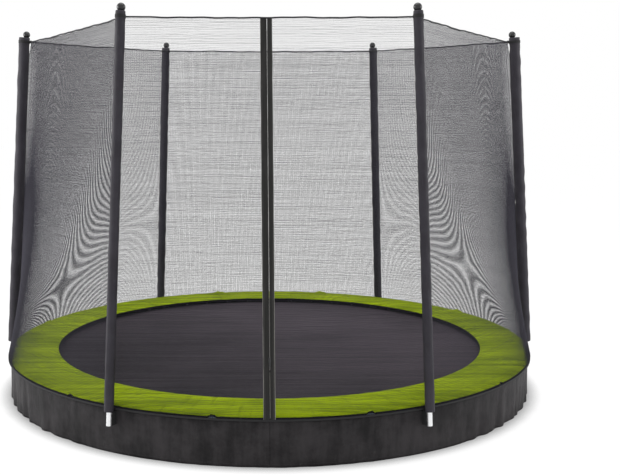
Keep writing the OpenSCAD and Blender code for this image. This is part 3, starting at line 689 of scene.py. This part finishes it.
def make_nets():
    """The door's two halves, then the whole nets, each with the part of its chord that it spans."""
    foot_az = [math.atan2(edge[1], edge[0]) for edge in (zip_edge(-1, 0), zip_edge(1, 0))]
    panels = [("front_left", pole_az(1), foot_az[0], corner(1), zip_edge(-1, 1), (0, 0.5)),
              ("front_right", foot_az[1], pole_az(2), zip_edge(1, 1), corner(2), (0.5, 1))]
    panels += [(i, pole_az(i), pole_az(i) + span_after(i), corner(i), corner(i + 1), (0, 1)) for i in POLES[1:]]
    return [net_panel(f"net_cords_{name}", *ends, seed, f"net_{name}", part)
            for seed, (name, *ends, part) in enumerate(panels)]


def make_top_hem():
    """A cord sewn into the net's head, with a small sag between the poles and a knot at each."""
    bundle = Bundle()
    wobble = ripples(31, 4, 0.12, 0.5)
    for i in POLES:
        start, end = corner(i), corner(i + 1)
        u = np.linspace(0.004, 0.996, 49)
        at = start + (end - start) * u[:, None]
        sag = HEM_SAG * 4 * u * (1 - u)
        at[:, 2] -= sag - ramp(np.minimum(u, 1 - u), 8) * wobble(u * 1.5, u * 0 + i) * 0.0016
        bundle.add(*tube(at, HEM_R, 10))
        knot = start + [0, 0, 0.0013]
        for level in (np.array([1.0, 0.0, 0.0]), np.array([0.0, 1.0, 0.0])):
            loop = [knot + 0.0052 * (math.cos(t) * level + math.sin(t) * UP) for t in circle(12)]
            bundle.add(*tube(loop, 0.0030, 8, closed=True))
    bundle.made("net_top_binding", hem_cloth, "net_hem", nodes=["net_top_hem"])


def make_bottom_hem():
    """A webbing band at the net's foot, drawn in a little at each of its ties."""
    steps, rows = 540, 5
    az = circle(steps)
    bow = 0.0008 * np.sin(9 * az * 2 + 0.4) ** 2
    heights = [FOOT_HEM_H * r / (rows - 1) for r in range(rows)]
    points = [polar(NET_R - bow, az, NET_FOOT - FOOT_HEM_H + h) for h in heights]
    lay = [np.stack([np.full(steps, h), NET_R * az], -1) for h in heights]
    made = piece("net_bottom_binding", points, grid_faces(rows, steps, wrap_cols=True), webbing_black,
                 lay=lay, nodes=["net_bottom_hem"])
    thicken(made, FOOT_HEM_T)


nets = make_nets()
make_top_hem()
make_bottom_hem()
for net, cut, cover in nets:
    round(cover * cut[0] * cut[1], 4)


def band_loop(radius, height, thickness, sides=40):
    """A flat band bent to a ring about the Z axis: points, faces and lay."""
    turn = circle(sides)
    corners = [(radius, -height / 2), (radius + thickness, -height / 2), (radius + thickness, height / 2),
               (radius, height / 2)]
    points = np.concatenate([polar(r, turn, z) for r, z in corners])
    flat = np.concatenate([np.stack([np.full(sides, z), radius * turn], -1) for r, z in corners])
    return points, grid_faces(4, sides, wrap_rows=True, wrap_cols=True), flat


def on_pole(points, i, z):
    """Points drawn about the origin, moved to the pole's axis at height z and leant with it."""
    x, y, up = np.asarray(points, float).reshape(-1, 3).T
    c, s = math.cos(lean(i)), math.sin(lean(i))
    return turned(np.stack([x * c - up * s, y, x * s + up * c], -1) + [pole_at(i, z), 0, z], pole_az(i))


def make_straps():
    """A webbing strap round each pole, with a tab that holds the net's corner."""
    bundle = Bundle()
    for i in POLES:
        z = NET_TOP - drop(i)
        points, faces, flat = band_loop(SLEEVE_R[i] + STRAP_PLAY, STRAP_H, STRAP_T)
        bundle.add(on_pole(points + [SLEEVE_R[i] - SLEEVE_IN, 0, 0], i, z), faces, flat)
        tab = [(x, y, up) for x in (-SLEEVE_IN - 0.0010, -SLEEVE_IN - 0.0050)
               for y, up in ((-0.006, -0.005), (0.006, -0.005), (0.006, 0.005), (-0.006, 0.005))]
        bundle.add(on_pole(tab, i, z), prism_faces(2, 4, clockwise=True), [(y, x) for x, y, _ in tab])
    bundle.made("net_corner_straps", webbing_black, "webbing", smooth=False, nodes=["net_straps"])


make_straps()


# ---- elastic ties ----

TIE_W, TIE_T = 0.010, 0.0012
TONGUE_Z = PAD_LOW - 0.0016
TONGUE_STEPS = 6
TONGUE_DIP = 0.0006


def make_ties(name, places, reach, height, node):
    """Loops of elastic round the rail, each with a tongue out to a radius at a height."""
    bundle = Bundle()
    points, loop_faces, loop_flat = band_loop(RAIL_R + 0.0002, TIE_W, 0.00125, 28)
    loop = np.stack([points[:, 0] + RING_R, points[:, 2], -points[:, 1] + RAIL_Z], -1)
    rise = height - RAIL_Z
    start = RING_R + (math.sqrt(max(0.0, (RAIL_R + 0.0008) ** 2 - rise ** 2)) if abs(rise) < RAIL_R else 0.0)
    tongue = [(x, y, height + z - dip)
              for x, dip in zip(np.linspace(start, reach, TONGUE_STEPS),
                                TONGUE_DIP * np.sin(np.linspace(0, math.pi, TONGUE_STEPS)))
              for y, z in ((-TIE_W / 2, -TIE_T / 2), (TIE_W / 2, -TIE_T / 2), (TIE_W / 2, TIE_T / 2),
                           (-TIE_W / 2, TIE_T / 2))]
    for az in places:
        bundle.add(turned(loop, az), loop_faces, loop_flat)
        bundle.add(turned(tongue, az), prism_faces(TONGUE_STEPS, 4, clockwise=True),
                   [(y, x) for x, y, _ in tongue])
    bundle.made(name, tie_elastic, "webbing", nodes=[node])


make_ties("pad_elastics", PAD_TIES, PAD_R - 0.020, TONGUE_Z, "pad_ties")
make_ties("net_elastics", [FRONT + (0.5 + 3 * k) * SPRING_STEP for k in range(18)], NET_R - 0.0010, TONGUE_Z,
          "net_ties")
make_ties("skirt_elastics", [FRONT + (2.5 + 3 * k) * SPRING_STEP for k in range(18)], SKIRT_R - 0.0010,
          RAIL_Z + 0.0066, "skirt_ties")


# ---- mat, its rings and the springs ----

RING_BAR = MAT_R + 0.0122          # the side of a wire triangle that its webbing loop holds
RING_TIP = MAT_R + 0.0342          # the corner that a spring hooks into
SPRING_AZ = [FRONT + k * SPRING_STEP for k in range(SPRINGS)]
WIRE_R, COIL_R, COIL_TURNS, COIL_STEPS = 0.0016, 0.0084, 26, 10


def make_mat():
    """The jumping mat: a stretched disc whose edge draws out a little at each ring."""
    rings, steps = 34, 324
    az = circle(steps)
    pull = 0.0010 * (np.cos(SPRINGS * (az - FRONT)) - 1)
    points = [(0.0, 0.0, MAT_Z)]
    for r in MAT_R * np.sqrt(np.linspace(0.0004, 1, rings)):
        points += polar(r + pull * (r / MAT_R) ** 8, az, MAT_Z).tolist()
    faces = [[0, 1 + k, 1 + (k + 1) % steps] for k in range(steps)]
    faces += grid_faces(rings, steps, wrap_cols=True, first=1)
    made = piece("jump_mat_cloth", points, faces, mat_weave, "mat", nodes=["jump_mat"])
    thicken(made, MAT_T)


def make_edge_webbing():
    """Webbing folded over the mat's edge and sewn through in two rows."""
    steps = 540
    az = circle(steps)
    inner, outer, half, sewn_in = MAT_R - 0.0378, MAT_R + 0.0030, 0.0030, 0.0008
    sewn = (inner + 0.009, inner + 0.031)
    rows_at = (inner, inner + 0.004, sewn[0], inner + 0.020, sewn[1], inner + 0.036, outer)
    upper = [(r, half - (sewn_in if r in sewn else 0.0)) for r in rows_at]
    fold = [(outer + 0.0012, half * 0.4), (outer + 0.0012, -half * 0.4)]
    section = upper + fold + [(r, -z) for r, z in reversed(upper)]
    points = [polar(r, az, MAT_Z + z) for r, z in section]
    flat = [np.stack([np.full(steps, r - inner), r * az], -1) for r, z in section]
    piece("mat_edge_webbing", points, grid_faces(len(section), steps, wrap_rows=True, wrap_cols=True),
          webbing_black, "mat", lay=flat, nodes=["mat_edge_band"])


def make_mat_rings():
    """A wire triangle at each spring, with its bar in a folded loop of webbing."""
    wires, loops = Bundle(), Bundle()
    sewn, bar, tip = MAT_R + 0.0035, RING_BAR, RING_TIP
    bend = [(bar, 0.011), (bar + 0.0015, 0.013), (bar + 0.0035, 0.013), (tip - 0.001, 0.0042), (tip, 0.0024)]
    across = [(x, -y) for x, y in reversed(bend)]
    outline = across[-1:] + bend + across[:-1]
    outer = [(sewn, 0.0036), (bar, 0.0038), (bar + 0.0035, 0.0020), (bar + 0.0040, 0.0)]
    inner = [(sewn, -0.0024), (bar, -0.0024), (bar + 0.0022, -0.0010)]
    fold = outer + [(x, -z) for x, z in outer[-2::-1]] + inner + [(x, -z) for x, z in inner[::-1]]
    count = len(fold)
    for az in SPRING_AZ:
        points, faces, flat = tube([(x, y, MAT_Z) for x, y in outline], 0.0020, 8, closed=True)
        wires.add(turned(points, az), faces, flat)
        ends = [turned([(x, y, MAT_Z + z) for x, z in fold], az) for y in (-0.0092, 0.0092)]
        flat = [(across, 0.001 * j) for across in (0.0, 0.0184) for j in range(count)]
        loops.add(np.concatenate(ends), prism_faces(2, count, clockwise=True), flat)
    wires.made("mat_wire_triangles", wire_steel, "spring_steel", "mat", nodes=["mat_rings"])
    loops.made("mat_ring_loops", webbing_black, "webbing", "mat", smooth=False)


def spring_path():
    """One spring at azimuth 0, from its hook in the rail to its hook in the ring."""
    low, high, count = MAT_R + 0.0485, RING_R - 0.0345, COIL_TURNS * COIL_STEPS
    rail_hook = [(RING_R - x, 0.0, RAIL_Z + z) for x, z in
                 ((0.0100, 0.0095), (0.0134, 0.0134), (0.0175, 0.0180), (0.0225, 0.0205), (0.0285, 0.0185))]
    helix = []
    for k in range(count + 1):
        t = 2 * math.pi * k / COIL_STEPS
        helix.append((high + (low - high) * k / count, -COIL_R * math.sin(t), MAT_Z + COIL_R * math.cos(t)))
    ring_hook = [(low - 0.0035, 0.0, MAT_Z + 0.0072)]
    ring_hook += [(RING_TIP + x, 0.0, MAT_Z + z) for x, z in
                  ((0.0045, 0.0045), (-0.0010, 0.0042), (-0.0042, 0.0018), (-0.0042, -0.0018),
                   (-0.0010, -0.0042), (0.0035, -0.0036))]
    return rail_hook + helix + ring_hook


def make_springs():
    points, faces, flat = tube(spring_path(), WIRE_R, 6)
    for k, az in enumerate(SPRING_AZ):
        made = piece(f"spring_{k + 1:02d}", turned(points, az), faces, wire_steel, body=None,
                     lay=flat)
        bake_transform(made)
        if k == 0:
            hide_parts("springs")


make_mat()
make_edge_webbing()
make_mat_rings()
make_springs()


# ---- safety pad ----

PAD_STEPS = 1080
ARCH_R, ARCH_H, ARCH_IN = 0.021, 0.017, 0.026   # arches in the pad's edge, over its ties
EDGE_DROP = 0.005                  # how much thinner the foam is at its edges
PLEAT_IN = 0.13                    # how far a tie's pleats and a raised corner reach in
PLEAT_H, LIFT_H = 0.0030, 0.014
FOLD_H, CREASE_H = 0.0011, 0.0004  # relief of the pad's top: its long folds and its fine creases
LAY_R = 1.4                        # turns an azimuth into a length along the cover
FRONT_TIES = PAD_TIES[2:4]
RAISED = PAD_TIES[7:11]


def arc_gap(az, at):
    return (az - at + math.pi) % (2 * math.pi) - math.pi


def pad_section():
    """The pad's section as (inward, height, is black), from the outer foot over the top and back below."""
    top_rows, low_rows = 24, 5
    crown, width = PAD_TOP - PAD_LOW, PAD_W
    rows = [(0.0030, 0.0, 1), (0.0006, 0.0035, 1), (0.0, 0.0065, 1), (0.0005, 0.0105, 0), (0.0035, 0.0150, 0)]
    for k in range(top_rows + 1):
        u = k / top_rows
        height = crown - EDGE_DROP + EDGE_DROP * (1 - abs(2 * u - 1) ** 6)
        rows.append((0.009 + u * (width - 0.018), height, 0))
    rows += [(width - 0.0035, 0.0150, 0), (width - 0.0005, 0.0112, 1), (width, 0.0065, 1),
             (width - 0.0006, 0.0035, 1), (width - 0.0030, 0.0, 1)]
    return rows + [(width - 0.003 - (width - 0.006) * k / low_rows, 0.0, 1) for k in range(1, low_rows)]


def make_pad():
    """The padded ring: a crowned foam section in a green cover with a black base, drawn in at its ties."""
    az = np.linspace(-math.pi, math.pi, PAD_STEPS, endpoint=False)
    fold, fine = ripples(7, 9, 0.07, 0.32), ripples(8, 9, 0.03, 0.10)
    arch, pleat, lift = np.zeros((3, PAD_STEPS))
    for at in PAD_TIES:
        s = arc_gap(az, at) * PAD_R
        arch = np.maximum(arch, ARCH_H - ARCH_R + np.sqrt(np.clip(ARCH_R ** 2 - s ** 2, 0, None)))
        pleat += np.exp(-((s - 0.030) / 0.016) ** 2) - 0.9 * np.exp(-((s + 0.034) / 0.020) ** 2)
        if at in RAISED:
            lift += np.exp(-(s / 0.035) ** 4) * (0.8 + 0.2 * np.sin(s * 160))
    points, flat, rows = [], [], pad_section()
    for inward, height, _ in rows:
        on_top = height >= 0.012
        z = PAD_LOW + height
        if on_top:
            near = max(0.0, 1 - inward / PLEAT_IN)
            side = ramp(min(inward, PAD_W - inward), 1 / 0.03)
            crumple = (FOLD_H * fold(az * LAY_R, np.full(PAD_STEPS, inward) * 0.55)
                       + CREASE_H * fine(az * LAY_R, inward + az * 0))
            z = z + side * crumple + near ** 2 * (PLEAT_H * pleat + LIFT_H * lift)
        if inward < ARCH_IN:
            z = np.maximum(z, PAD_LOW + arch + (0.0016 + 0.1 * height if on_top else 0.12 * height))
        points.append(polar(PAD_R - inward, az, np.minimum(z, PAD_TOP + 0.012)))
        flat.append(np.stack([np.full(PAD_STEPS, inward), LAY_R * az], -1))
    count = len(rows)
    which = np.repeat([max(rows[k][2], rows[(k + 1) % count][2]) for k in range(count)], PAD_STEPS)
    faces = grid_faces(count, PAD_STEPS, wrap_rows=True, wrap_cols=True)
    made = piece("safety_pad_cover", points, faces, [pad_cover_green, pad_backing_black], lay=flat,
                 which=which, nodes=["safety_pad"])
    return az, arch


def make_pad_binding(az, arch):
    """Black piping sewn along the foot of the pad's two edges."""
    bundle = Bundle()
    for line in (polar(PAD_R - 0.0012, az, PAD_LOW + 0.0014 + arch)[::2],
                 polar(PAD_IN_R + 0.0010, az, PAD_LOW + 0.0022)[::3]):
        bundle.add(*tube(line, 0.0022, 6, closed=True))
    bundle.made("pad_piping", pad_backing_black, "pad_cover")


def make_turned_tabs():
    """The cover's underside, turned up in the two front arches to a lens shape."""
    bundle = Bundle()
    steps, half = 15, 0.0185
    points = []
    for share in np.linspace(0, 1, steps):
        tall = 0.0012 + 0.0048 * math.sin(math.pi * share) ** 0.4
        points += [(PAD_R - 0.0025 + r, (2 * share - 1) * half, PAD_LOW + 0.0015 + z) for r, z in
                   ((0.0, 0.0005), (0.0022, 0.45 * tall), (0.0, tall), (-0.0022, tall - 0.0006),
                    (-0.0024, 0.0005))]
    for at in FRONT_TIES:
        bundle.add(turned(points, at), prism_faces(steps, 5, clockwise=True))
    bundle.made("pad_turned_tabs", backing_blue, "pad_cover")


make_pad_binding(*make_pad())
make_turned_tabs()


# ---- skirt ----

SKIRT_FOLD = 0.008
SKIRT_CALM = math.radians(7)       # from a pole's clamp to where the folds start
SEAM_LAP = 0.0010                  # how far a section reaches over the next, as an angle
LAP_OUT, LAP_W = 0.0012, 0.008     # how far it stands out there, and over what length
SEAM_CALM = 0.016                  # from a seam to where the cloth is free
SLACK_H, CRUMPLE_H = 0.0016, 0.0005
DENT_AZ, DENT, DENT_W = math.radians(-148), 0.010, 0.045


def skirt_fold(i, a, v):
    """How far the skirt stands out or in at angle a from its pole, v of the way down."""
    to_leg = (a > 0) == (i % 2 == 1)
    most = np.where(to_leg, 0.22, 1.0) * SKIRT_FOLD
    off = np.clip((np.abs(a) - SKIRT_CALM) / math.radians(23), 0, None)
    deep = most * np.sin(np.minimum(1, 1.6 * off) * math.pi / 2)
    turn = np.degrees(a)
    wave = (np.sin(2 * math.pi * 11 * turn / 60)
            + 0.45 * np.sin(2 * math.pi * 11 * turn / 37 + math.radians(70 * i)))
    return deep * (wave / 1.45 - 0.25) * (0.04 + 0.96 * v)


def make_skirt(i):
    """One sewn section of the skirt, from seam to seam, with the pole's clamp in its middle."""
    before, after = span_after(i + 1) / 2, span_after(i) / 2
    cols, rows = 200, 18
    a, v = np.meshgrid(np.linspace(-before - SEAM_LAP, after + SEAM_LAP, cols), np.linspace(0, 1, rows),
                       indexing="ij")
    slack, crumple = ripples(60 + i, 8, 0.05, 0.24), ripples(80 + i, 8, 0.02, 0.07)
    x, y, az = a * SKIRT_R, v * SKIRT_TOP, pole_az(i) + a
    held = np.clip((np.abs(a) - math.radians(1.5)) / math.radians(6), 0, 1)
    free = 1 - np.exp(-(np.minimum(a + before, after - a) * SKIRT_R / SEAM_CALM) ** 2)
    loose = held * (0.25 + 0.75 * v) * (SLACK_H * slack(x, y * 0.5) + CRUMPLE_H * crumple(x, y))
    r = SKIRT_R + free * (skirt_fold(i, a, v) + loose) - 0.0006
    if i == 6:
        r = r - DENT * np.exp(-((arc_gap(az, DENT_AZ) * SKIRT_R / DENT_W) ** 2) - ((v - 0.45) / 0.28) ** 2)
    r = r + LAP_OUT * np.exp(-((after - a) * SKIRT_R / LAP_W) ** 2)
    z = SKIRT_TOP * (1 - v)
    made = piece(f"skirt_cloth_{i}", polar(r, az, z), grid_faces(cols, rows), skirt_cloth,
                 lay=np.stack([x, z], -1), nodes=[f"skirt_{i}"])
    thicken(made, SKIRT_T)
    round(SKIRT_R * (before + after) * 1.005, 3)


for i in POLES:
    make_skirt(i)


# ---- poles ----

SLEEVE_CRUMPLE = {1: 0.3, 2: 0.35, 3: 0.6, 4: 0.45, 5: 0.45, 6: 0.6}
SLEEVE_HELD = 0.05                 # how far from its ends a sleeve's creases are full
CREASE_OUT, SLOW_OUT = 0.0007, 0.0008


def make_sleeve(i):
    """A foam sleeve in a cloth cover: slightly loose, with slanting creases and a gathered foot."""
    around, rings = 44, 240
    head = POLE_TOP - drop(i) - 1.8 * BALL_R
    length = (head - SLEEVE_FOOT) / math.cos(lean(i))
    turn, run = np.meshgrid(circle(around), np.linspace(0, length, rings), indexing="xy")
    slow = ripples(110 + i, 5, 0.12, 0.5)
    rng = random.Random(130 + i)
    crease = sum(np.sin(n * turn + run * k + p) for n, k, p in
                 [(rng.choice((1, 2, -1, 2)), rng.uniform(22, 75), rng.uniform(0, 6.28)) for _ in range(6)])
    loose = SLEEVE_CRUMPLE[i]
    held = np.clip(np.minimum(run, length - run) / SLEEVE_HELD, 0, 1)
    relief = CREASE_OUT * crease + SLOW_OUT * slow(run, turn * SLEEVE_R[i])
    r = SLEEVE_R[i] - 0.0010 * loose + held * loose * relief
    r = np.where((run < 0.002) | (run > length - 0.002), SLEEVE_R[i] - 0.0016, r)
    z = SLEEVE_FOOT + run * math.cos(lean(i))
    local = np.stack([r * np.cos(turn) + SLEEVE_R[i] - SLEEVE_IN, r * np.sin(turn), np.zeros_like(r)], -1)
    bore = polar(TUBE_R + 0.0003, turn[0], 0.0)
    rows = [on_pole(bore, i, SLEEVE_FOOT), *(on_pole(local[k], i, float(z[k, 0])) for k in range(rings)),
            on_pole(bore, i, head)]
    lay = np.stack([turn * SLEEVE_R[i], run], -1)
    faces = [face[::-1] for face in grid_faces(rings + 2, around, wrap_cols=True)]
    made = piece(f"foam_sleeve_{i}", rows, faces, sleeve_cloth,
                 lay=np.concatenate([lay[:1], lay, lay[-1:]]), nodes=[f"pole_sleeve_{i}"])


for i in POLES:
    make_sleeve(i)


# ---- zip ----

TOOTH_REACH = 0.0032
TOOTH_PITCH = 0.0030
TEETH_FROM, TEETH_TO = 0.222, ZIP_L - 0.060
SEAM_TO = TEETH_FROM - 0.010       # below this the tapes are sewn together
STITCH_PITCH = 0.0044
ROOT_X, ROOT_HALF = 0.0021, (0.0011, 0.0014, 0.0012)
HEAD_X, HEAD_HALF = 0.0004, (0.0006, 0.0010, 0.0011)
TAPE_GAP = 0.0008                  # from the zip's middle to a tape
TAPE_STEPS, TAPE_PLACES = 150, 10


def on_zip(x, out, s):
    """A point of the zip: x to the right, out of the enclosure, and s up the zip."""
    return ZIP_FOOT + ZIP_RIGHT * x + ZIP_OUT * out + ZIP_UP * s


def make_tapes():
    """The two tapes, which meet behind the teeth, each with a little ripple on its outer edge."""
    bundle = Bundle()
    faces = grid_faces(TAPE_STEPS, TAPE_PLACES)
    for side, width in ((-1, LEFT_TAPE_W), (1, RIGHT_TAPE_W)):
        places = [0.0] + [width * c / (TAPE_PLACES - 2) for c in range(TAPE_PLACES - 1)]
        relief = ripples(150 + side, 6, 0.10, 0.45)
        for face_side in (1, -1):
            points, flat = [], []
            for r in range(TAPE_STEPS):
                s = 0.0005 + (ZIP_L - 0.0045) * r / (TAPE_STEPS - 1)
                places[0] = (TAPE_GAP if s > SEAM_TO else 0.0) - TOOTH_REACH
                for c, across in enumerate(places):
                    wave = 0.0007 * max(0.0, across / width) * float(relief(s, across))
                    rim = 0.0006 if 1 < c < TAPE_PLACES - 1 else 0.0002
                    behind = -0.0020 if c == 0 else -0.0006 if c == 1 else 0.0
                    points.append(on_zip(side * (TOOTH_REACH + across), wave + behind + face_side * rim, s))
                    flat.append((width - across, s))
            bundle.add(points, faces if side * face_side > 0 else [f[::-1] for f in faces], flat)
    bundle.made("zip_webbing_tapes", zip_tape_cloth, "webbing", nodes=["zip_tapes"])


def make_teeth():
    """Two meshing rows of moulded teeth, rubbed pale where they meet, on corded edges."""
    heads, roots = Bundle(), Bundle()
    for k in range(int((TEETH_TO - TEETH_FROM) / TOOTH_PITCH)):
        side = -1 if k % 2 else 1
        s = TEETH_FROM + (k + 0.5) * TOOTH_PITCH
        for rows, x, half in ((roots, ROOT_X, ROOT_HALF), (heads, HEAD_X, HEAD_HALF)):
            rows.block(on_zip(side * x, 0.0, s), ZIP_RIGHT, ZIP_OUT, ZIP_UP, half)
    for side in (-1, 1):
        cord = [on_zip(side * 0.0026, 0.0, s) for s in np.linspace(TEETH_FROM, TEETH_TO, 40)]
        roots.add(*tube(cord, 0.0009, 6))
    heads.made("zip_tooth_heads", TOOTH, "zip_plastic", smooth=False, nodes=["zip_teeth"])
    roots.made("zip_tooth_roots", TOOTH_ROOT, "zip_plastic", smooth=False, nodes=["zip_teeth"])


def make_foot_seam():
    """The pale stitches that hold the tapes together below the zip."""
    bundle = Bundle()
    for s in np.arange(0.006, SEAM_TO, STITCH_PITCH):
        stitch = [on_zip(0.0, 0.0004 + rise, s + run) for run, rise in
                  ((0.0, -0.0008), (0.0005, 0.0), (0.0018, 0.0003), (0.0031, 0.0), (0.0036, -0.0008))]
        bundle.add(*tube(stitch, 0.0006, 6))
    bundle.made("zip_foot_stitches", THREAD, "webbing")


make_tapes()
make_teeth()
make_foot_seam()


# ---- finishes of the carried pieces ----

CARRIED = {"rail_": FRAME_STEEL, "t_socket_": FRAME_STEEL, "u_leg_": FRAME_STEEL, "pole_caps": cap_gloss,
           "pole_bolts": BOLT_STEEL, "pole_sleeve_": None, "pole_": POLE_STEEL, "inner_spacers": spacer_moulded,
           "outer_spacers": spacer_moulded, "zip_slider": zip_metal, "zip_pull": zip_metal}
for name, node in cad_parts.items():
    finish = next((f for start, f in CARRIED.items() if name.startswith(start)), None)
    if finish is not None:
        node.data.materials.clear()
        node.data.materials.append(finish)


# ---- floor, backdrop and lamps ----

def sees_backdrop(f):
    """1 for a ray that should meet the plain white studio: from the camera, a reflection or through glass."""
    rays = f.outputs(f.node("LightPath"), ("Is Camera Ray", "Is Glossy Ray", "Is Transmission Ray"))
    return f.most(f.most(rays[0], rays[1]), rays[2])


@material
def floor_white(f):
    """White ground round the object; its glow carries a painted contact shadow close to the object and is left
    out under it as painted shade.
    """
    plain = f.node("BsdfDiffuse", sockets={"Color": grey(0.80)})
    shaded = f.node("BsdfDiffuse", sockets={"Color": grey(0.20)})
    # ambient occlusion darkens the glow near the object: a painted contact shadow
    open_share = f.node("AmbientOcclusion", {"samples": 8}, {"Distance": 0.09}, out="AO")
    x, y, _ = f.split(f.place())
    # the glow is left out inside the skirt: painted shade under the trampoline
    beyond_skirt = f.step(x * x + y * y, (RING_R - 0.01) ** 2, (RING_R + 0.01) ** 2)
    tone = f.blend((open_share * open_share * 0.5 + open_share * 0.5) * beyond_skirt,
                   grey(0.0), grey(1.0))
    glow = f.node("Emission", sockets={"Color": tone, "Strength": 0.88})
    lifted = f.node("AddShader", sockets={0: shaded, 1: glow})
    mixed = f.node("MixShader", sockets={0: sees_backdrop(f), 1: plain, 2: lifted})
    f.node("OutputMaterial", sockets={"Surface": mixed})
    return f.material


def make_floor():
    half = 40.0
    mesh = bpy.data.meshes.new("floor")
    mesh.from_pydata([(-half, -half, 0), (half, -half, 0), (half, half, 0), (-half, half, 0)], [],
                     [[0, 1, 2, 3]])
    mesh.materials.append(floor_white)
    floor = bpy.data.objects.new("floor", mesh)
    scene.collection.objects.link(floor)
    floor.location.z = -0.0005


class Sky(Finish):
    """The world, whose tree takes the same expressions as a material's."""

    def __init__(self):
        scene.world = scene.world or bpy.data.worlds.new("studio")
        scene.world.use_nodes = True
        self.tree = scene.world.node_tree
        self.tree.nodes.clear()


def make_world(level):
    """Even light of a level, and plain white where the camera sees past everything."""
    f = Sky()
    light, white = (f.node("Background", sockets={"Color": grey(1.0), "Strength": strength})
                    for strength in (level, 1.0))
    mixed = f.node("MixShader", sockets={0: sees_backdrop(f), 1: light, 2: white})
    f.node("OutputWorld", sockets={"Surface": mixed})


def lamp(name, place, aim, side, watts):
    """A square area lamp at a place, turned towards the point that it aims at."""
    data = bpy.data.lights.new(name, "AREA")
    data.shape = "RECTANGLE"
    data.size = data.size_y = side
    data.energy = watts
    made = bpy.data.objects.new(name, data)
    scene.collection.objects.link(made)
    made.location = place
    towards = np.array(aim, float) - np.array(place, float)
    yaw = math.atan2(towards[1], towards[0]) - math.pi / 2
    pitch = math.atan2(towards[2], math.hypot(towards[0], towards[1])) + math.pi / 2
    made.rotation_euler = (pitch, 0.0, yaw)


make_floor()
make_world(0.60)
lamp("left_softbox", (-5.5, -0.6, 2.4), (0, 0, 0.8), 3.0, 150)
lamp("right_softbox", (5.5, -0.6, 2.4), (0, 0, 0.8), 3.0, 75)
lamp("top_softbox", (0.0, -0.5, 5.5), (0, 0, 0.0), 4.0, 80)

scene.view_settings.view_transform = "Standard"
